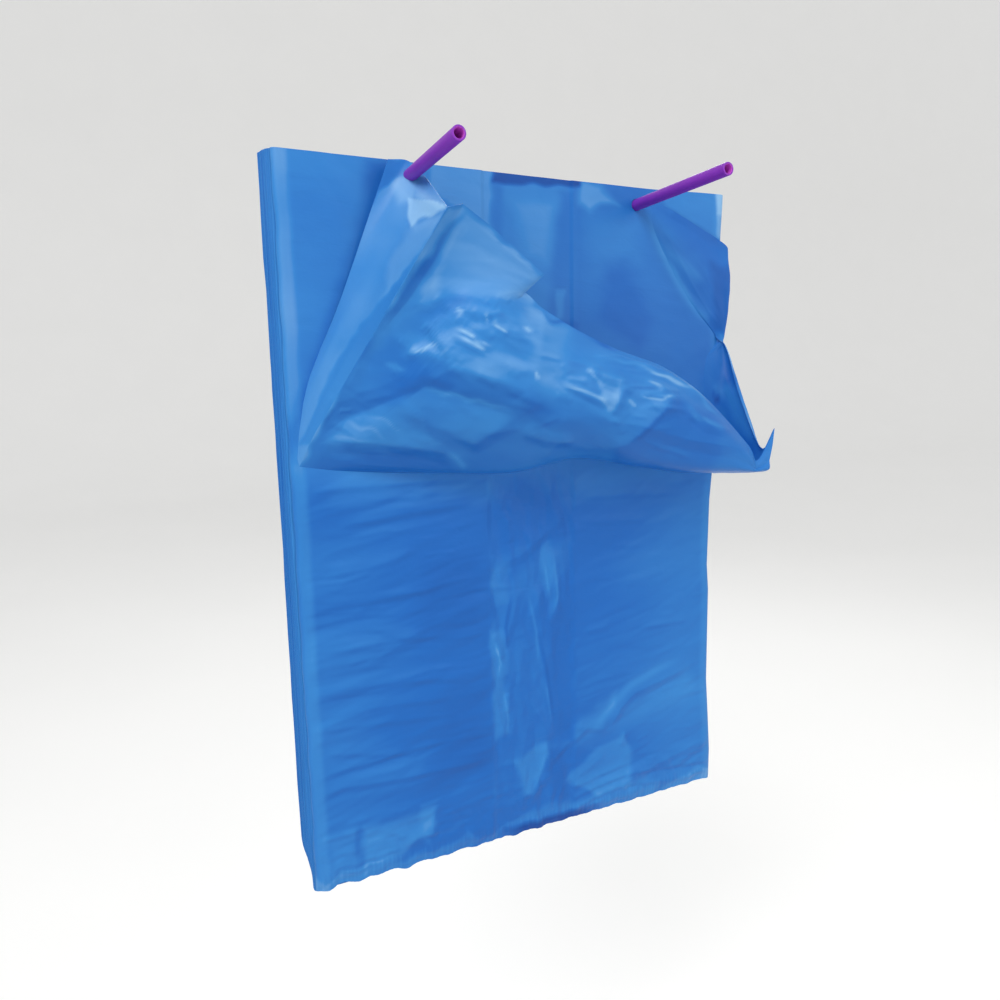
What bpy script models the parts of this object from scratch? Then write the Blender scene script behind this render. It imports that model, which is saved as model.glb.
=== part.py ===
"""A block of side-gusseted film food bags, threaded on two hollow tubes through their punched holes.

The front bag's mouth has been pulled open: its front panel has come off the tubes and hangs forward,
with the gussets at its two sides drawn out into webs.

Frame: X to the right, -Y towards the person who pulls a bag, +Z up. The origin is midway between
the two tubes, on their axes' level, in the plane of the block's back.
"""

import math

import bmesh
import bpy
from mathutils import Vector

MM = 0.001

# The bags
bag_width = 0.280
bag_height = 0.400
gusset_depth = 0.112
edge_radius = 0.0045
seal_height = 0.007

# The block of bags behind the front one
block_thickness = 0.011
block_centre_dip = 0.0016
leaf_count = 7
leaf_notch = 0.0009
fan_left = 0.0050
fan_right = 0.0012
corner_cut_width = 0.0060
corner_cut_height = 0.030

# The front bag, pressed flat, and its film where it is drawn open
pressed_thickness = 0.0022
pressed_centre_dip = 0.0008
edge_turn = 0.8
seal_turn = 0.5
film_wall = 0.0006
layer_gap = 0.0003

# The tubes and the holes that take them
tube_diameter = 0.0067
tube_bore = 0.0047
tube_reach = 0.080
tube_spacing = 0.147
hole_below_mouth = 0.010
hole_clearance = 0.0004
tube_inset = 0.001

# How far a cutter runs past what it cuts, and how near two points of the film's sheets are joined
cut_margin = 0.002
weld_distance = 0.00005

# Places worked out from the sizes above
half_width = bag_width / 2
centre_half = half_width - gusset_depth
mouth_z = hole_below_mouth
block_front_y = -block_thickness
pressed_back_y = block_front_y - layer_gap
film_y = pressed_back_y - pressed_thickness
tube_x = tube_spacing / 2
hole_radius = tube_diameter / 2 + hole_clearance

# Steps of the pressed bag's front face, finer where its folds are, and of the open film's cage
side_columns = 12
centre_columns = 10
plain_rows = 11
creased_rows = 60
film_steps_across = 3
film_steps_up = 4

# The creases and the cage are set out on a bag of these sizes, and stretched to the sizes above
drawn_half_width = 0.140
drawn_tube_x = 0.0735
drawn_height = 0.400
creased_from = 0.150

# Creases pressed into the front face: height and half-width in mm, then the line that each follows,
# in mm right of centre and below the mouth
pressed_creases = [
    (1.2, 10, [(-134, 172), (-88, 170), (-24, 172)]),
    (0.9, 9, [(-124, 182), (-82, 178), (-52, 177)]),
    (1.1, 10, [(-118, 196), (-76, 193), (-44, 189)]),
    (1.0, 10, [(-126, 216), (-104, 215), (-72, 206)]),
    (1.1, 11, [(-131, 235), (-78, 232), (-46, 226)]),
    (0.9, 10, [(-102, 250), (-82, 257), (-50, 262)]),
    (1.2, 10, [(-134, 283), (-79, 284), (-42, 289)]),
    (0.9, 10, [(-132, 303), (-97, 306), (-50, 310)]),
    (0.9, 10, [(-130, 318), (-79, 328), (-56, 324)]),
    (1.6, 12, [(-132, 342), (-90, 342), (-40, 344)]),
    (1.3, 11, [(-110, 364), (-80, 366), (-53, 366)]),
    (1.2, 9, [(-117, 366), (-117, 384)]),
    (1.1, 9, [(24, 196), (-9, 219), (-25, 222)]),
    (1.2, 9, [(13, 214), (16, 249), (11, 265)]),
    (1.0, 9, [(-8, 237), (-20, 274), (-20, 318)]),
    (1.0, 9, [(2, 238), (8, 300), (13, 342)]),
    (1.2, 9, [(-14, 347), (-4, 380), (8, 341)]),
    (1.6, 11, [(10, 358), (24, 347), (50, 344), (64, 330), (75, 322), (119, 312)]),
    (1.5, 11, [(58, 388), (78, 381), (106, 375), (130, 369)]),
    (1.0, 10, [(29, 371), (54, 360), (66, 348)]),
    (0.8, 10, [(36, 187), (63, 187), (110, 189)]),
    (0.8, 10, [(34, 203), (86, 205), (124, 210)]),
    (0.8, 10, [(40, 274), (79, 277), (121, 278)]),
]

# Cage of the open film, in mm: right of centre, out from the pressed face, below the mouth.
# Each column runs from the root on the pressed face over the hem fold and belly to the mouth edge.
left_web = [
    [(-137, -1, -148), (-130, -0.6, -117), (-123, -0.3, -100), (-111, 1, -74), (-96, 5, -35), (-84, 9, -2.5)],
    [(-137, -1.0, -151), (-129, 3, -122), (-120, 7, -100), (-105, 11, -70), (-86, 12, -30), (-74, 10, -2.5)],
    [(-137, -1.0, -153), (-128, 6, -129), (-117, 13, -106), (-101, 20, -74), (-83, 23, -38), (-68, 16, -10)],
    [(-137, -1.0, -155), (-129, 7, -135), (-119, 15, -115), (-103, 27, -85), (-87, 37, -53), (-71, 40, -23)],
    [(-136, -1.0, -158), (-129, 8, -141), (-121, 16, -126), (-105, 32, -96), (-90, 49, -67), (-74, 65, -37)],
]
front_panel = [
    left_web[-1],
    [(-129, -1.0, -159), (-126, 4, -151), (-119, 11, -140), (-102, 29, -106), (-84, 46, -72), (-65, 61, -34)],
    [(-118, -0.6, -160), (-116, 3, -156), (-113, 8, -149), (-96, 28, -123), (-73, 48, -76), (-50, 58, -42)],
    [(-86, -0.6, -163), (-87, 7, -160), (-85, 14, -153), (-77, 42, -116), (-60, 55, -76), (-18, 52, -62)],
    [(-50, -0.6, -165), (-54, 10, -164), (-55, 20, -159), (-54, 50, -124), (-47, 60, -86), (-28, 50, -71)],
    [(-15, -0.6, -163), (-19, 14, -164), (-22, 28, -161), (-23, 55, -130), (-22, 60, -101), (-6, 50, -85)],
    [(20, -0.6, -157), (15, 20, -159), (11, 38, -155), (6, 57, -136), (8, 60, -112), (26, 48, -98)],
    [(55, -0.6, -161), (51, 22, -164), (47, 42, -162), (42, 55, -145), (43, 58, -122), (60, 48, -109)],
    [(93, -0.6, -170), (87, 24, -171), (82, 44, -168), (83, 52, -154), (84, 53, -138), (92, 46, -127)],
    [(124, -0.6, -176), (122, 24, -174), (121, 45, -171), (122, 48, -166), (122, 49, -161), (124, 46, -155)],
    [(134, -0.6, -177), (133, 24, -175), (131, 45, -172), (132, 46, -170), (132, 46, -168), (133, 45, -165)],
    [(139, -0.6, -178), (140, 22, -175), (140, 45, -172), (140, 46, -165), (141, 46, -156), (144, 45, -146)],
]
right_web = [
    front_panel[-1],
    [(138, -1, -166), (141, 14, -164), (142, 26, -163), (143, 34, -162), (143, 37, -160), (142, 38, -158)],
    [(138, -1, -138), (141, 8, -136), (142, 14, -133), (143, 18, -130), (143, 20, -127), (141, 19, -124)],
    [(138, -1, -104), (141, 1.5, -103), (142, 3, -101), (143, 4.3, -99), (143, 5.5, -97), (143, 6.5, -95)],
    [(138, -1, -97), (141, 1.2, -95), (143, 3, -93), (143, 4.2, -91), (142, 4.4, -90), (140, 4.2, -89)],
    [(138, -1, -90), (141, 0.9, -88), (143, 2.4, -86), (142, 3.4, -84), (139, 3.2, -83), (135, 2.4, -84)],
    [(138, -1, -80), (142, 1.8, -73), (143.5, 4, -65), (138, 3.5, -61), (128, 2.2, -64), (119, 1.1, -70)],
    [(138, -1, -66), (142, 1.8, -58), (143.5, 4, -49), (131, 3, -43), (116, 2, -42), (100, 0.9, -47)],
    [(138, -1, -54), (142, 1.3, -47), (143, 2.2, -38), (125, 2, -28), (105, 1.4, -22), (86, 0.8, -24)],
    [(138, -1, -44), (142, 0.5, -37), (143, 1.1, -30), (122, 1.1, -21), (101, 1.1, -12), (75, 1.1, -1)],
]


def clear_scene():
    for thing in list(bpy.data.objects):
        bpy.data.objects.remove(thing, do_unlink=True)


def new_collection(name):
    group = bpy.data.collections.new(name)
    bpy.context.scene.collection.children.link(group)
    return group


def plastic(name, colour, roughness):
    material = bpy.data.materials.new(name)
    material.use_nodes = True
    shader = material.node_tree.nodes["Principled BSDF"]
    shader.inputs["Base Color"].default_value = (*colour, 1.0)
    shader.inputs["Roughness"].default_value = roughness
    shader.inputs["Metallic"].default_value = 0.0
    return material


def object_from_bmesh(name, mesh_edit, group, material):
    mesh = bpy.data.meshes.new(name)
    mesh_edit.to_mesh(mesh)
    mesh_edit.free()
    mesh.materials.append(material)
    made = bpy.data.objects.new(name, mesh)
    group.objects.link(made)
    return made


def boolean(target, cutter, operation):
    modifier = target.modifiers.new(f"{operation.title()} {cutter.name}", "BOOLEAN")
    modifier.operation = operation
    modifier.solver = "EXACT"
    modifier.object = cutter
    modifier.use_self = operation == "UNION"


def as_helper(made):
    made.hide_render = True
    made.display_type = "WIRE"


def smoothstep(edge_low, edge_high, value):
    share = min(max((value - edge_low) / (edge_high - edge_low), 0.0), 1.0)
    return share * share * (3 - 2 * share)


def centre_strip(x):
    """1 on the strip between the gussets' inner folds, where only two film layers lie, 0 beside it."""
    ramp = 0.006
    return 1 - smoothstep(centre_half, centre_half + ramp, abs(x))


def rounded_edge(x, half_span):
    """How far a folded edge has turned back at x, from 0 on the flat to 1 at the edge."""
    inside = max(edge_radius - (half_span - abs(x)), 0.0) / edge_radius
    return 1 - math.sqrt(max(1 - inside * inside, 0.0))


def across(right):
    """Place across the bag of a point drawn in mm, kept in line with the tubes and the side edges."""
    reach = abs(right) * MM
    if reach < drawn_tube_x:
        place = tube_x * reach / drawn_tube_x
    else:
        share = (reach - drawn_tube_x) / (drawn_half_width - drawn_tube_x)
        place = tube_x + (half_width - tube_x) * share
    return math.copysign(place, right)


def corner_cut(below_mouth):
    """The fanned leaves draw in again towards their bottom corner."""
    share = smoothstep(bag_height - corner_cut_height, bag_height, below_mouth)
    return corner_cut_width * share


def leaf_ends(side, below_mouth):
    """Rounded leaf edges down one side of the block's plan section, from its front to its back."""
    leaf = block_thickness / leaf_count
    rounding = [(0.0, 1.0), (0.25, 0.2), (0.5, 0.0), (0.8, 0.4)]
    points = []
    for index in range(leaf_count):
        depth = (index + 1) / leaf_count
        fanned = fan_left * math.sqrt(depth) if side < 0 else -fan_right * depth
        reach = half_width + fanned
        if side < 0:
            reach -= corner_cut(below_mouth) * depth
        front = block_front_y + index * leaf
        points += [(side * (reach - leaf_notch * inset), front + leaf * share) for share, inset in rounding]
    points.append((side * (reach - leaf_notch), 0.0))
    return points


def block_section(below_mouth):
    """Plan section of the block, with a dip front and back where the bags have only two layers."""
    ramp = 0.008
    dip = [(-centre_half - ramp, 0.0), (-centre_half, 1.0), (0.0, 1.1), (centre_half, 1.0),
           (centre_half + ramp, 0.0)]
    front = [(x, block_front_y + block_centre_dip * depth) for x, depth in dip]
    back = [(x, -block_centre_dip * depth) for x, depth in reversed(dip)]
    right = leaf_ends(1, below_mouth)
    left = list(reversed(leaf_ends(-1, below_mouth)))
    return front + right + back + left


def make_bag_block(group, material):
    straight = bag_height - corner_cut_height
    stations = [straight * share for share in (0.0, 0.33, 0.67, 1.0)]
    stations += [straight + corner_cut_height * share for share in (0.25, 0.5, 0.75, 1.0)]
    edit = bmesh.new()
    rings = []
    for below in stations:
        section = block_section(below)
        rings.append([edit.verts.new((x, y, mouth_z - below)) for x, y in section])
    for upper, lower in zip(rings, rings[1:]):
        count = len(upper)
        for index in range(count):
            following = (index + 1) % count
            edit.faces.new((upper[index], upper[following], lower[following], lower[index]))
    edit.faces.new(rings[0])
    edit.faces.new(rings[-1])
    bmesh.ops.recalc_face_normals(edit, faces=edit.faces)
    return object_from_bmesh("bag_block", edit, group, material)


def crease_lines():
    """The pressed creases as height, half-width and line, in metres on the bag's face."""
    stretch = bag_height / drawn_height
    for rise, reach, line in pressed_creases:
        yield rise * MM, reach * MM, [Vector((across(x), below * MM * stretch)) for x, below in line]


def distance_to_run(point, start, end):
    along = end - start
    share = min(max((point - start).dot(along) / along.length_squared, 0.0), 1.0)
    return (point - start - along * share).length


def crease_height(creases, x, below):
    """Height of the pressed creases at x right of centre and below the mouth."""
    height = 0.0
    point = Vector((x, below))
    for rise, reach, line in creases:
        nearest = min(distance_to_run(point, start, end) for start, end in zip(line, line[1:]))
        if nearest < reach:
            height = max(height, rise * (1 - (nearest / reach) ** 2) ** 2)
    return height


def pressed_surface(creases, x, below):
    """Y of the pressed bag's front face: a flat bag with creases and turned-back edges."""
    turned_back = pressed_thickness * edge_turn * rounded_edge(x, half_width)
    sealed = pressed_thickness * seal_turn * smoothstep(bag_height - seal_height, bag_height, below)
    depth = max(pressed_centre_dip * centre_strip(x), turned_back, sealed)
    height = crease_height(creases, x, below)
    height *= 1 - smoothstep(half_width - edge_radius * 2, half_width, abs(x))
    return film_y + depth - height


def even_places(stops, steps):
    """Places from the first stop to the last, with the given even steps in each stretch between stops."""
    places = [stops[0]]
    for low, high, count in zip(stops, stops[1:], steps):
        places += [low + (high - low) * (index + 1) / count for index in range(count)]
    return places


def make_pressed_bag(group, material):
    turn = edge_radius / 3
    seal = seal_height / 3
    creased_top = creased_from * bag_height / drawn_height
    right = [centre_half, half_width - edge_radius, half_width - turn, half_width]
    left = [-x for x in reversed(right)]
    columns = even_places(left + right, [1, 1, side_columns, centre_columns, side_columns, 1, 1])
    rows = even_places([0.0, seal, creased_top, bag_height - seal_height, bag_height - seal, bag_height],
                       [1, plain_rows, creased_rows, 1, 1])
    creases = list(crease_lines())
    edit = bmesh.new()
    bmesh.ops.create_grid(edit, x_segments=len(columns) - 1, y_segments=len(rows) - 1, size=1.0)
    for vert in edit.verts:
        column = round((vert.co.x + 1) / 2 * (len(columns) - 1))
        row = round((vert.co.y + 1) / 2 * (len(rows) - 1))
        x, below = columns[column], rows[row]
        vert.co = (x, pressed_surface(creases, x, below), mouth_z - below)
    rim = [edge for edge in edit.edges if edge.is_boundary]
    drawn_back = bmesh.ops.extrude_edge_only(edit, edges=rim)
    back_edges = [item for item in drawn_back["geom"] if isinstance(item, bmesh.types.BMEdge)]
    back_verts = {vert for edge in back_edges for vert in edge.verts}
    for vert in back_verts:
        vert.co.y = pressed_back_y
    bmesh.ops.contextual_create(edit, geom=back_edges)
    bmesh.ops.recalc_face_normals(edit, faces=edit.faces)
    return object_from_bmesh("front_bag", edit, group, material)


def through(points, share):
    """A point on the smooth curve that passes through all the given points."""
    place = share * (len(points) - 1)
    index = min(int(place), len(points) - 2)
    t = place - index
    p1, p2 = points[index], points[index + 1]
    p0 = points[index - 1] if index > 0 else p1 * 2 - p2
    p3 = points[index + 2] if index + 2 < len(points) else p2 * 2 - p1
    return 0.5 * (p1 * 2 + (p2 - p0) * t + (p0 * 2 - p1 * 5 + p2 * 4 - p3) * t * t
                  + (p1 * 3 - p0 - p2 * 3 + p3) * t * t * t)


def film_point(right, out, below):
    """A cage point in mm as a place in the part's frame."""
    return Vector((across(right), film_y - out * MM, mouth_z + below * MM))


def film_sheet(edit, cage):
    """Loft a smooth sheet of film through the cage's columns."""
    columns = [[film_point(*point) for point in column] for column in cage]
    rows_up = (len(columns[0]) - 1) * film_steps_up
    steps_over = (len(columns) - 1) * film_steps_across
    rows = []
    for row in range(rows_up + 1):
        level = [through(column, row / rows_up) for column in columns]
        rows.append([edit.verts.new(through(level, step / steps_over)) for step in range(steps_over + 1)])
    for lower, upper in zip(rows, rows[1:]):
        for index in range(steps_over):
            edit.faces.new((lower[index], lower[index + 1], upper[index + 1], upper[index]))


def make_open_film(group, material):
    """The front panel and the two gusset webs as one sheet, folded along the panel's side edges."""
    edit = bmesh.new()
    for cage in (left_web, front_panel, right_web):
        film_sheet(edit, cage)
    bmesh.ops.remove_doubles(edit, verts=edit.verts, dist=weld_distance)
    film = object_from_bmesh("open_film", edit, group, material)
    wall = film.modifiers.new("Film wall", "SOLIDIFY")
    wall.thickness = film_wall
    wall.offset = 0.0
    wall.use_even_offset = False
    as_helper(film)
    return film


def make_rod(name, diameter, front_y, back_y, x, group, material):
    """A round rod along Y, used for the tubes, their bores and the holes."""
    edit = bmesh.new()
    bmesh.ops.create_cone(edit, cap_ends=True, segments=32, radius1=diameter / 2,
                          radius2=diameter / 2, depth=back_y - front_y)
    made = object_from_bmesh(name, edit, group, material)
    made.location = (x, (front_y + back_y) / 2, 0.0)
    made.rotation_euler = (math.pi / 2, 0.0, 0.0)
    return made


def make_tube(name, x, parts, cutters, material):
    front_y = film_y - tube_reach
    tube = make_rod(name, tube_diameter, front_y, -tube_inset, x, parts, material)
    bore = make_rod(f"{name}_bore", tube_bore, front_y - cut_margin, cut_margin, x, cutters, material)
    as_helper(bore)
    boolean(tube, bore, "DIFFERENCE")
    return tube


def main():
    clear_scene()
    parts = new_collection("bag_block_on_tubes")
    cutters = new_collection("cutters")
    film = plastic("film", (0.045, 0.19, 0.60), 0.35)
    tube_plastic = plastic("tube", (0.30, 0.045, 0.58), 0.4)

    block = make_bag_block(parts, film)
    front_bag = make_pressed_bag(parts, film)
    boolean(front_bag, make_open_film(cutters, film), "UNION")

    for name, x in (("left", -tube_x), ("right", tube_x)):
        make_tube(f"tube_{name}", x, parts, cutters, tube_plastic)
        hole = make_rod(f"hole_{name}", hole_radius * 2, film_y - tube_reach, cut_margin, x, cutters, film)
        as_helper(hole)
        boolean(block, hole, "DIFFERENCE")
        boolean(front_bag, hole, "DIFFERENCE")


main()
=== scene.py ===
# %% [markdown]
# # A hanging block of film food bags
#
# The object is a block of blue plastic food bags, the kind that a stall or a shop hangs up within
# reach. The bags are threaded on two hollow tubes through holes punched near their mouths. The front
# bag's mouth has been pulled open, so that its front panel hangs forward and its side gussets are
# drawn out into webs.
#
# The solids of the object come first and never move. Everything below dresses them: film thin enough
# to look like film, creases, the leaves of the block, and the finish of each plastic.

# %% The frame
import math
from contextlib import contextmanager

import bmesh
import bpy
import numpy as np
from mathutils import Matrix, Vector


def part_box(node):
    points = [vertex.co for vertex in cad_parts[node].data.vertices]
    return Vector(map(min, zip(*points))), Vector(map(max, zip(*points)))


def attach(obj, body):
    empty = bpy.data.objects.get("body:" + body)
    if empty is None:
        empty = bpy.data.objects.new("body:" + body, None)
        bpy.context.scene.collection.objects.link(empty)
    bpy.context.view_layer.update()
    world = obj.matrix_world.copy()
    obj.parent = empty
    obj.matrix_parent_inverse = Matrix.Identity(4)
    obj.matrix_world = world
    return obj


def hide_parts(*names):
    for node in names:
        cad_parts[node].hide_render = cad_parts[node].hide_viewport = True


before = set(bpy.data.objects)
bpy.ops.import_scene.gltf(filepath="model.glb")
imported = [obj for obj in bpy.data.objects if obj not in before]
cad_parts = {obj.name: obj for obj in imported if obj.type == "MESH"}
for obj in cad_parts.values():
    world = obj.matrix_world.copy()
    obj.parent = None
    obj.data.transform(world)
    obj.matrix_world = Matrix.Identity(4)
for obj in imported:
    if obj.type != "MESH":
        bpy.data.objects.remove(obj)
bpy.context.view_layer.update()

MM = 0.001
BODY = "root"
print("nodes:", sorted(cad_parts))

# %% [markdown]
# ## The camera
#
# The picture was taken from the left, a little below the tubes, with the camera held almost level.
# The place, the turn and the lens below were fitted to the corners of the bag, its gusset folds and
# the ends of the tubes. A camera's matrix holds its own three axes as columns, and its place: right,
# up, and back towards the person who holds it.

# %% The camera at the photograph's place
PICTURE = 1000
FOCAL_PIXELS = 733.84
SENSOR_MM = 36.0
camera_at = Vector((-0.19852, -0.402498, -0.107665))
view_right = Vector((0.9086148, -0.4171995, -0.0190710))
view_down = Vector((-0.0804771, -0.1300965, -0.9882299))
view_forward = Vector((0.4098079, 0.8994551, -0.1517826))


def link(made):
    bpy.context.scene.collection.objects.link(made)
    return made


camera_data = bpy.data.cameras.new("camera")
camera_data.sensor_width = SENSOR_MM
camera_data.lens = FOCAL_PIXELS * SENSOR_MM / PICTURE
camera_data.clip_start = 0.02
camera_data.clip_end = 60.0
camera = link(bpy.data.objects.new("camera", camera_data))
turn = Matrix((view_right, -view_down, -view_forward)).transposed()
camera.matrix_world = Matrix.Translation(camera_at) @ turn.to_4x4()
bpy.context.scene.camera = camera
print("lens:", round(camera_data.lens, 2), "mm")

# %% [markdown]
# Some folds are easiest to place where the eye sees them, so a helper says where any point of the
# object falls in the picture, in pixels from its top left corner. It is plain geometry: how far the
# point lies to the right of the camera and below it, divided by how far away it is.

# %% Where a point falls in the picture
def seen_at(places):
    offset = places - np.array(camera_at)
    right, down, depth = (offset @ np.array(axis) for axis in (view_right, view_down, view_forward))
    return np.stack([PICTURE / 2 + FOCAL_PIXELS * way / depth for way in (right, down)], axis=-1)


tube_box = {side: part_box(f"tube_{side}") for side in ("left", "right")}
for side, (low, high) in tube_box.items():
    mouth = np.array([(low.x + high.x) / 2, low.y, (low.z + high.z) / 2])
    print(side, "tube ends at pixel", np.round(seen_at(mouth)))

# %% [markdown]
# ## Sizes
#
# The driving sizes are those of the solids. What can be read from the frame is read from it.

# %% The sizes of the bag
BAG_WIDTH = 0.280
GUSSET_DEPTH = 0.112
EDGE_RADIUS = 0.0045
PRESSED_THICKNESS = 0.0022
FILM_WALL = 0.0003
LAYER_GAP = 0.0003
HOLE_CLEARANCE = 0.0002

half_width = BAG_WIDTH / 2
centre_half = half_width - GUSSET_DEPTH
block_low, block_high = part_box("bag_block")
mouth_z = block_high.z
bag_height = block_high.z - block_low.z
pressed_back_y = block_low.y - LAYER_GAP
film_y = pressed_back_y - PRESSED_THICKNESS
tube_radius = (tube_box["left"][1].x - tube_box["left"][0].x) / 2
tube_x = tube_box["right"][1].x - tube_radius
print("bag:", round(BAG_WIDTH, 3), "x", round(bag_height, 3), "film at y", round(film_y, 4))
print("tubes at x", round(tube_x, 4), "radius", round(tube_radius, 5))

# %% [markdown]
# ## Helpers for folded film
#
# Film doesn't wrinkle like cloth. It stays flat between sharp lines, so a crease is best drawn as a
# crest with a slope on each side: often a long gentle one and a short steep one. Each crease below is
# a drawn line, with its height and the reach of its two slopes. The helpers work on whole arrays of
# points at once, which keeps a fine mesh quick to build.

# %% Creases along drawn lines
CREASE_END = 0.18
HEIGHT_AT_END = 0.15


def smooth(low, high, value):
    share = np.clip((value - low) / (high - low), 0.0, 1.0)
    return share * share * (3 - 2 * share)


def line_distance(points, line):
    """Signed distance from each point to a drawn line, and how far along the line it lies, 0 to 1."""
    corners = [np.array(corner, float) for corner in line]
    lengths = [np.linalg.norm(b - a) for a, b in zip(corners, corners[1:])]
    best = np.full(points.shape[:-1], 1e9)
    signed = best.copy()
    along = np.zeros_like(best)
    walked = 0.0
    for a, b, length in zip(corners, corners[1:], lengths):
        run = (b - a) / length
        offset = points - a
        reach = np.clip(offset @ run, 0.0, length)
        distance = np.linalg.norm(offset - reach[..., None] * run, axis=-1)
        side = np.where(run[0] * offset[..., 1] - run[1] * offset[..., 0] < 0, 1.0, -1.0)
        nearer = distance < best
        best = np.where(nearer, distance, best)
        signed = np.where(nearer, side * distance, signed)
        along = np.where(nearer, (walked + reach) / sum(lengths), along)
        walked += length
    return signed, along


def crease(points, rise, above, below, line, sharp):
    """Height of one crease. above and below are the reaches of its slopes, on the line's two sides."""
    signed, along = line_distance(points, line)
    slope = np.clip(1 - np.abs(signed) / np.where(signed > 0, above, below), 0.0, 1.0) ** sharp
    ends = smooth(0.0, CREASE_END, along) * smooth(0.0, CREASE_END, 1 - along)
    return rise * slope * (HEIGHT_AT_END + (1 - HEIGHT_AT_END) * ends)


def folded(points, folds, sharp=1.2):
    """Height of many creases, each given by its height, its two reaches and its line."""
    return sum(crease(points, *fold, sharp=sharp) for fold in folds)


probe = np.array([[0.0, 1.0], [5.0, 4.0]])
print("distances to a level line:", line_distance(probe, [(0, 0), (10, 0)])[0])

# %% [markdown]
# Between the folds that are drawn one by one, handled film is full of smaller ones that nobody would
# draw. They follow rules. Where film sags it has pleats, long sharp folds side by side that wander and
# fade in and out. Where it has been crushed it has facets, flat pieces that meet in sharp folds. Both
# need values by chance at the corners of a lattice of cells.

# %% Soft noise, pleats and facets
NOISE_TABLE = 64


def cell_corners(places, seed):
    """Values by chance at the four corners of each place's cell, and where in the cell it lies."""
    table = np.random.default_rng(seed).uniform(-1, 1, (NOISE_TABLE, NOISE_TABLE))
    low = np.floor(places).astype(int)
    near, far = low % NOISE_TABLE, (low + 1) % NOISE_TABLE
    corners = ((near, near), (far, near), (near, far), (far, far))
    values = [table[a[..., 0], b[..., 1]] for a, b in corners]
    return values, (places - low)[..., 0], (places - low)[..., 1]


def soft_noise(points, cell, seed):
    """Smooth values by chance, from -1 to 1, in patches about as large as cell."""
    (a, b, c, d), right, down = cell_corners(points / np.array(cell, float), seed)
    right, down = smooth(0, 1, right), smooth(0, 1, down)
    return (a * (1 - right) + b * right) * (1 - down) + (c * (1 - right) + d * right) * down


def turned_by(points, lean):
    angle = math.radians(lean)
    along = points[..., 0] * math.cos(angle) + points[..., 1] * math.sin(angle)
    over = points[..., 1] * math.cos(angle) - points[..., 0] * math.sin(angle)
    return np.stack([along, over], axis=-1)


def ragged(points, cell, size, seed):
    """The same points moved a little by chance, so that an outline drawn over them isn't straight."""
    moves = [soft_noise(points, (cell, cell), seed + step) for step in (0, 1)]
    return points + size * np.stack(moves, axis=-1)


def pleats(points, pitch, lean, crest, seed):
    """Long folds side by side, 0 in a valley and 1 on a crest. crest is where it lies in the pitch."""
    turned = turned_by(points, lean)
    stray = 0.6 * soft_noise(turned, (4 * pitch, 2 * pitch), seed)
    stray += 1.5 * soft_noise(turned, (11 * pitch, 8 * pitch), seed + 1)
    share = (turned[..., 1] / pitch + stray) % 1.0
    tooth = np.where(share < crest, share / crest, (1 - share) / (1 - crest))
    return tooth * smooth(-0.3, 0.5, soft_noise(turned, (4 * pitch, 1.5 * pitch), seed + 2))


def facets(points, cell, lean, seed):
    """Flat facets that meet in sharp folds, from -1 to 1. cell is how long and how high they are."""
    places = turned_by(points, lean) / np.array(cell, float)
    (a, b, c, d), right, down = cell_corners(ragged(places, 1.7, 0.6, seed + 1), seed)
    upper = a * (1 - right - down) + b * right + c * down
    lower = d * (right + down - 1) + b * (1 - down) + c * (1 - right)
    return np.where(right + down < 1, upper, lower)


print("facets at two places:", np.round(facets(probe, (3, 3), 0, 1), 2))

# %% [markdown]
# A sheet's normal is square to its two directions. Folds lift a sheet along it, which keeps the
# thickness true wherever the sheet turns. It also says how far a fold turns the film to the light.
# Slopes that the folds turn towards the light are painted lighter, and slopes turned away are painted
# deeper: a painted shade on top of what plain shading gives. It follows the folds, so it is worked
# out from them. Other changes of tone, most of them painted light and shade, are drawn as patches with
# an outline and as streaks along a line.

# %% Normals of a sheet, its painted shade, and drawn changes of tone
LIGHT_FROM = (-0.42, -0.50, 0.76)
STREAK_END = 0.3


def sheet_normals(places):
    normal = np.cross(np.gradient(places, axis=1), np.gradient(places, axis=0))
    length = np.linalg.norm(normal, axis=-1, keepdims=True)
    return normal / np.maximum(length, 1e-12)


def painted_relief_shade(creased, plain):
    """How far each place of the creased sheet turns to the light beyond the plain one, for painted shade."""
    return (sheet_normals(creased) - sheet_normals(plain)) @ np.array(LIGHT_FROM)


def patch(points, corners, soft):
    """1 inside a drawn outline and 0 outside it, with a soft edge."""
    outline = [np.array(corner, float) for corner in corners]
    inside = np.zeros(points.shape[:-1], bool)
    nearest = np.full(points.shape[:-1], 1e9)
    for a, b in zip(outline, outline[1:] + outline[:1]):
        run = b - a
        offset = points - a
        share = np.clip(offset @ run / (run @ run), 0.0, 1.0)
        nearest = np.minimum(nearest, np.linalg.norm(offset - share[..., None] * run, axis=-1))
        crosses = (a[1] > points[..., 1]) != (b[1] > points[..., 1])
        rise = np.where(abs(run[1]) < 1e-9, 1e-9, run[1])
        inside ^= crosses & (points[..., 0] < a[0] + (points[..., 1] - a[1]) * run[0] / rise)
    return smooth(-soft, soft, np.where(inside, nearest, -nearest))


def streak(points, line, half):
    """1 along a drawn line, fading to nothing beyond half on both sides and towards its ends."""
    signed, along = line_distance(points, line)
    ends = smooth(0, STREAK_END, along) * smooth(0, STREAK_END, 1 - along)
    return np.exp(-(signed / half) ** 2) * ends


def painted(points, patches):
    """The sum of drawn patches. Each has its outline, softness and change of tone."""
    return sum(change * patch(points, outline, soft) for outline, soft, change in patches)


def streaked(points, streaks):
    """The sum of drawn streaks. Each has its half width, change of tone and line."""
    return sum(change * streak(points, line, half) for half, change, line in streaks)


print("light comes from", LIGHT_FROM)
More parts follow.
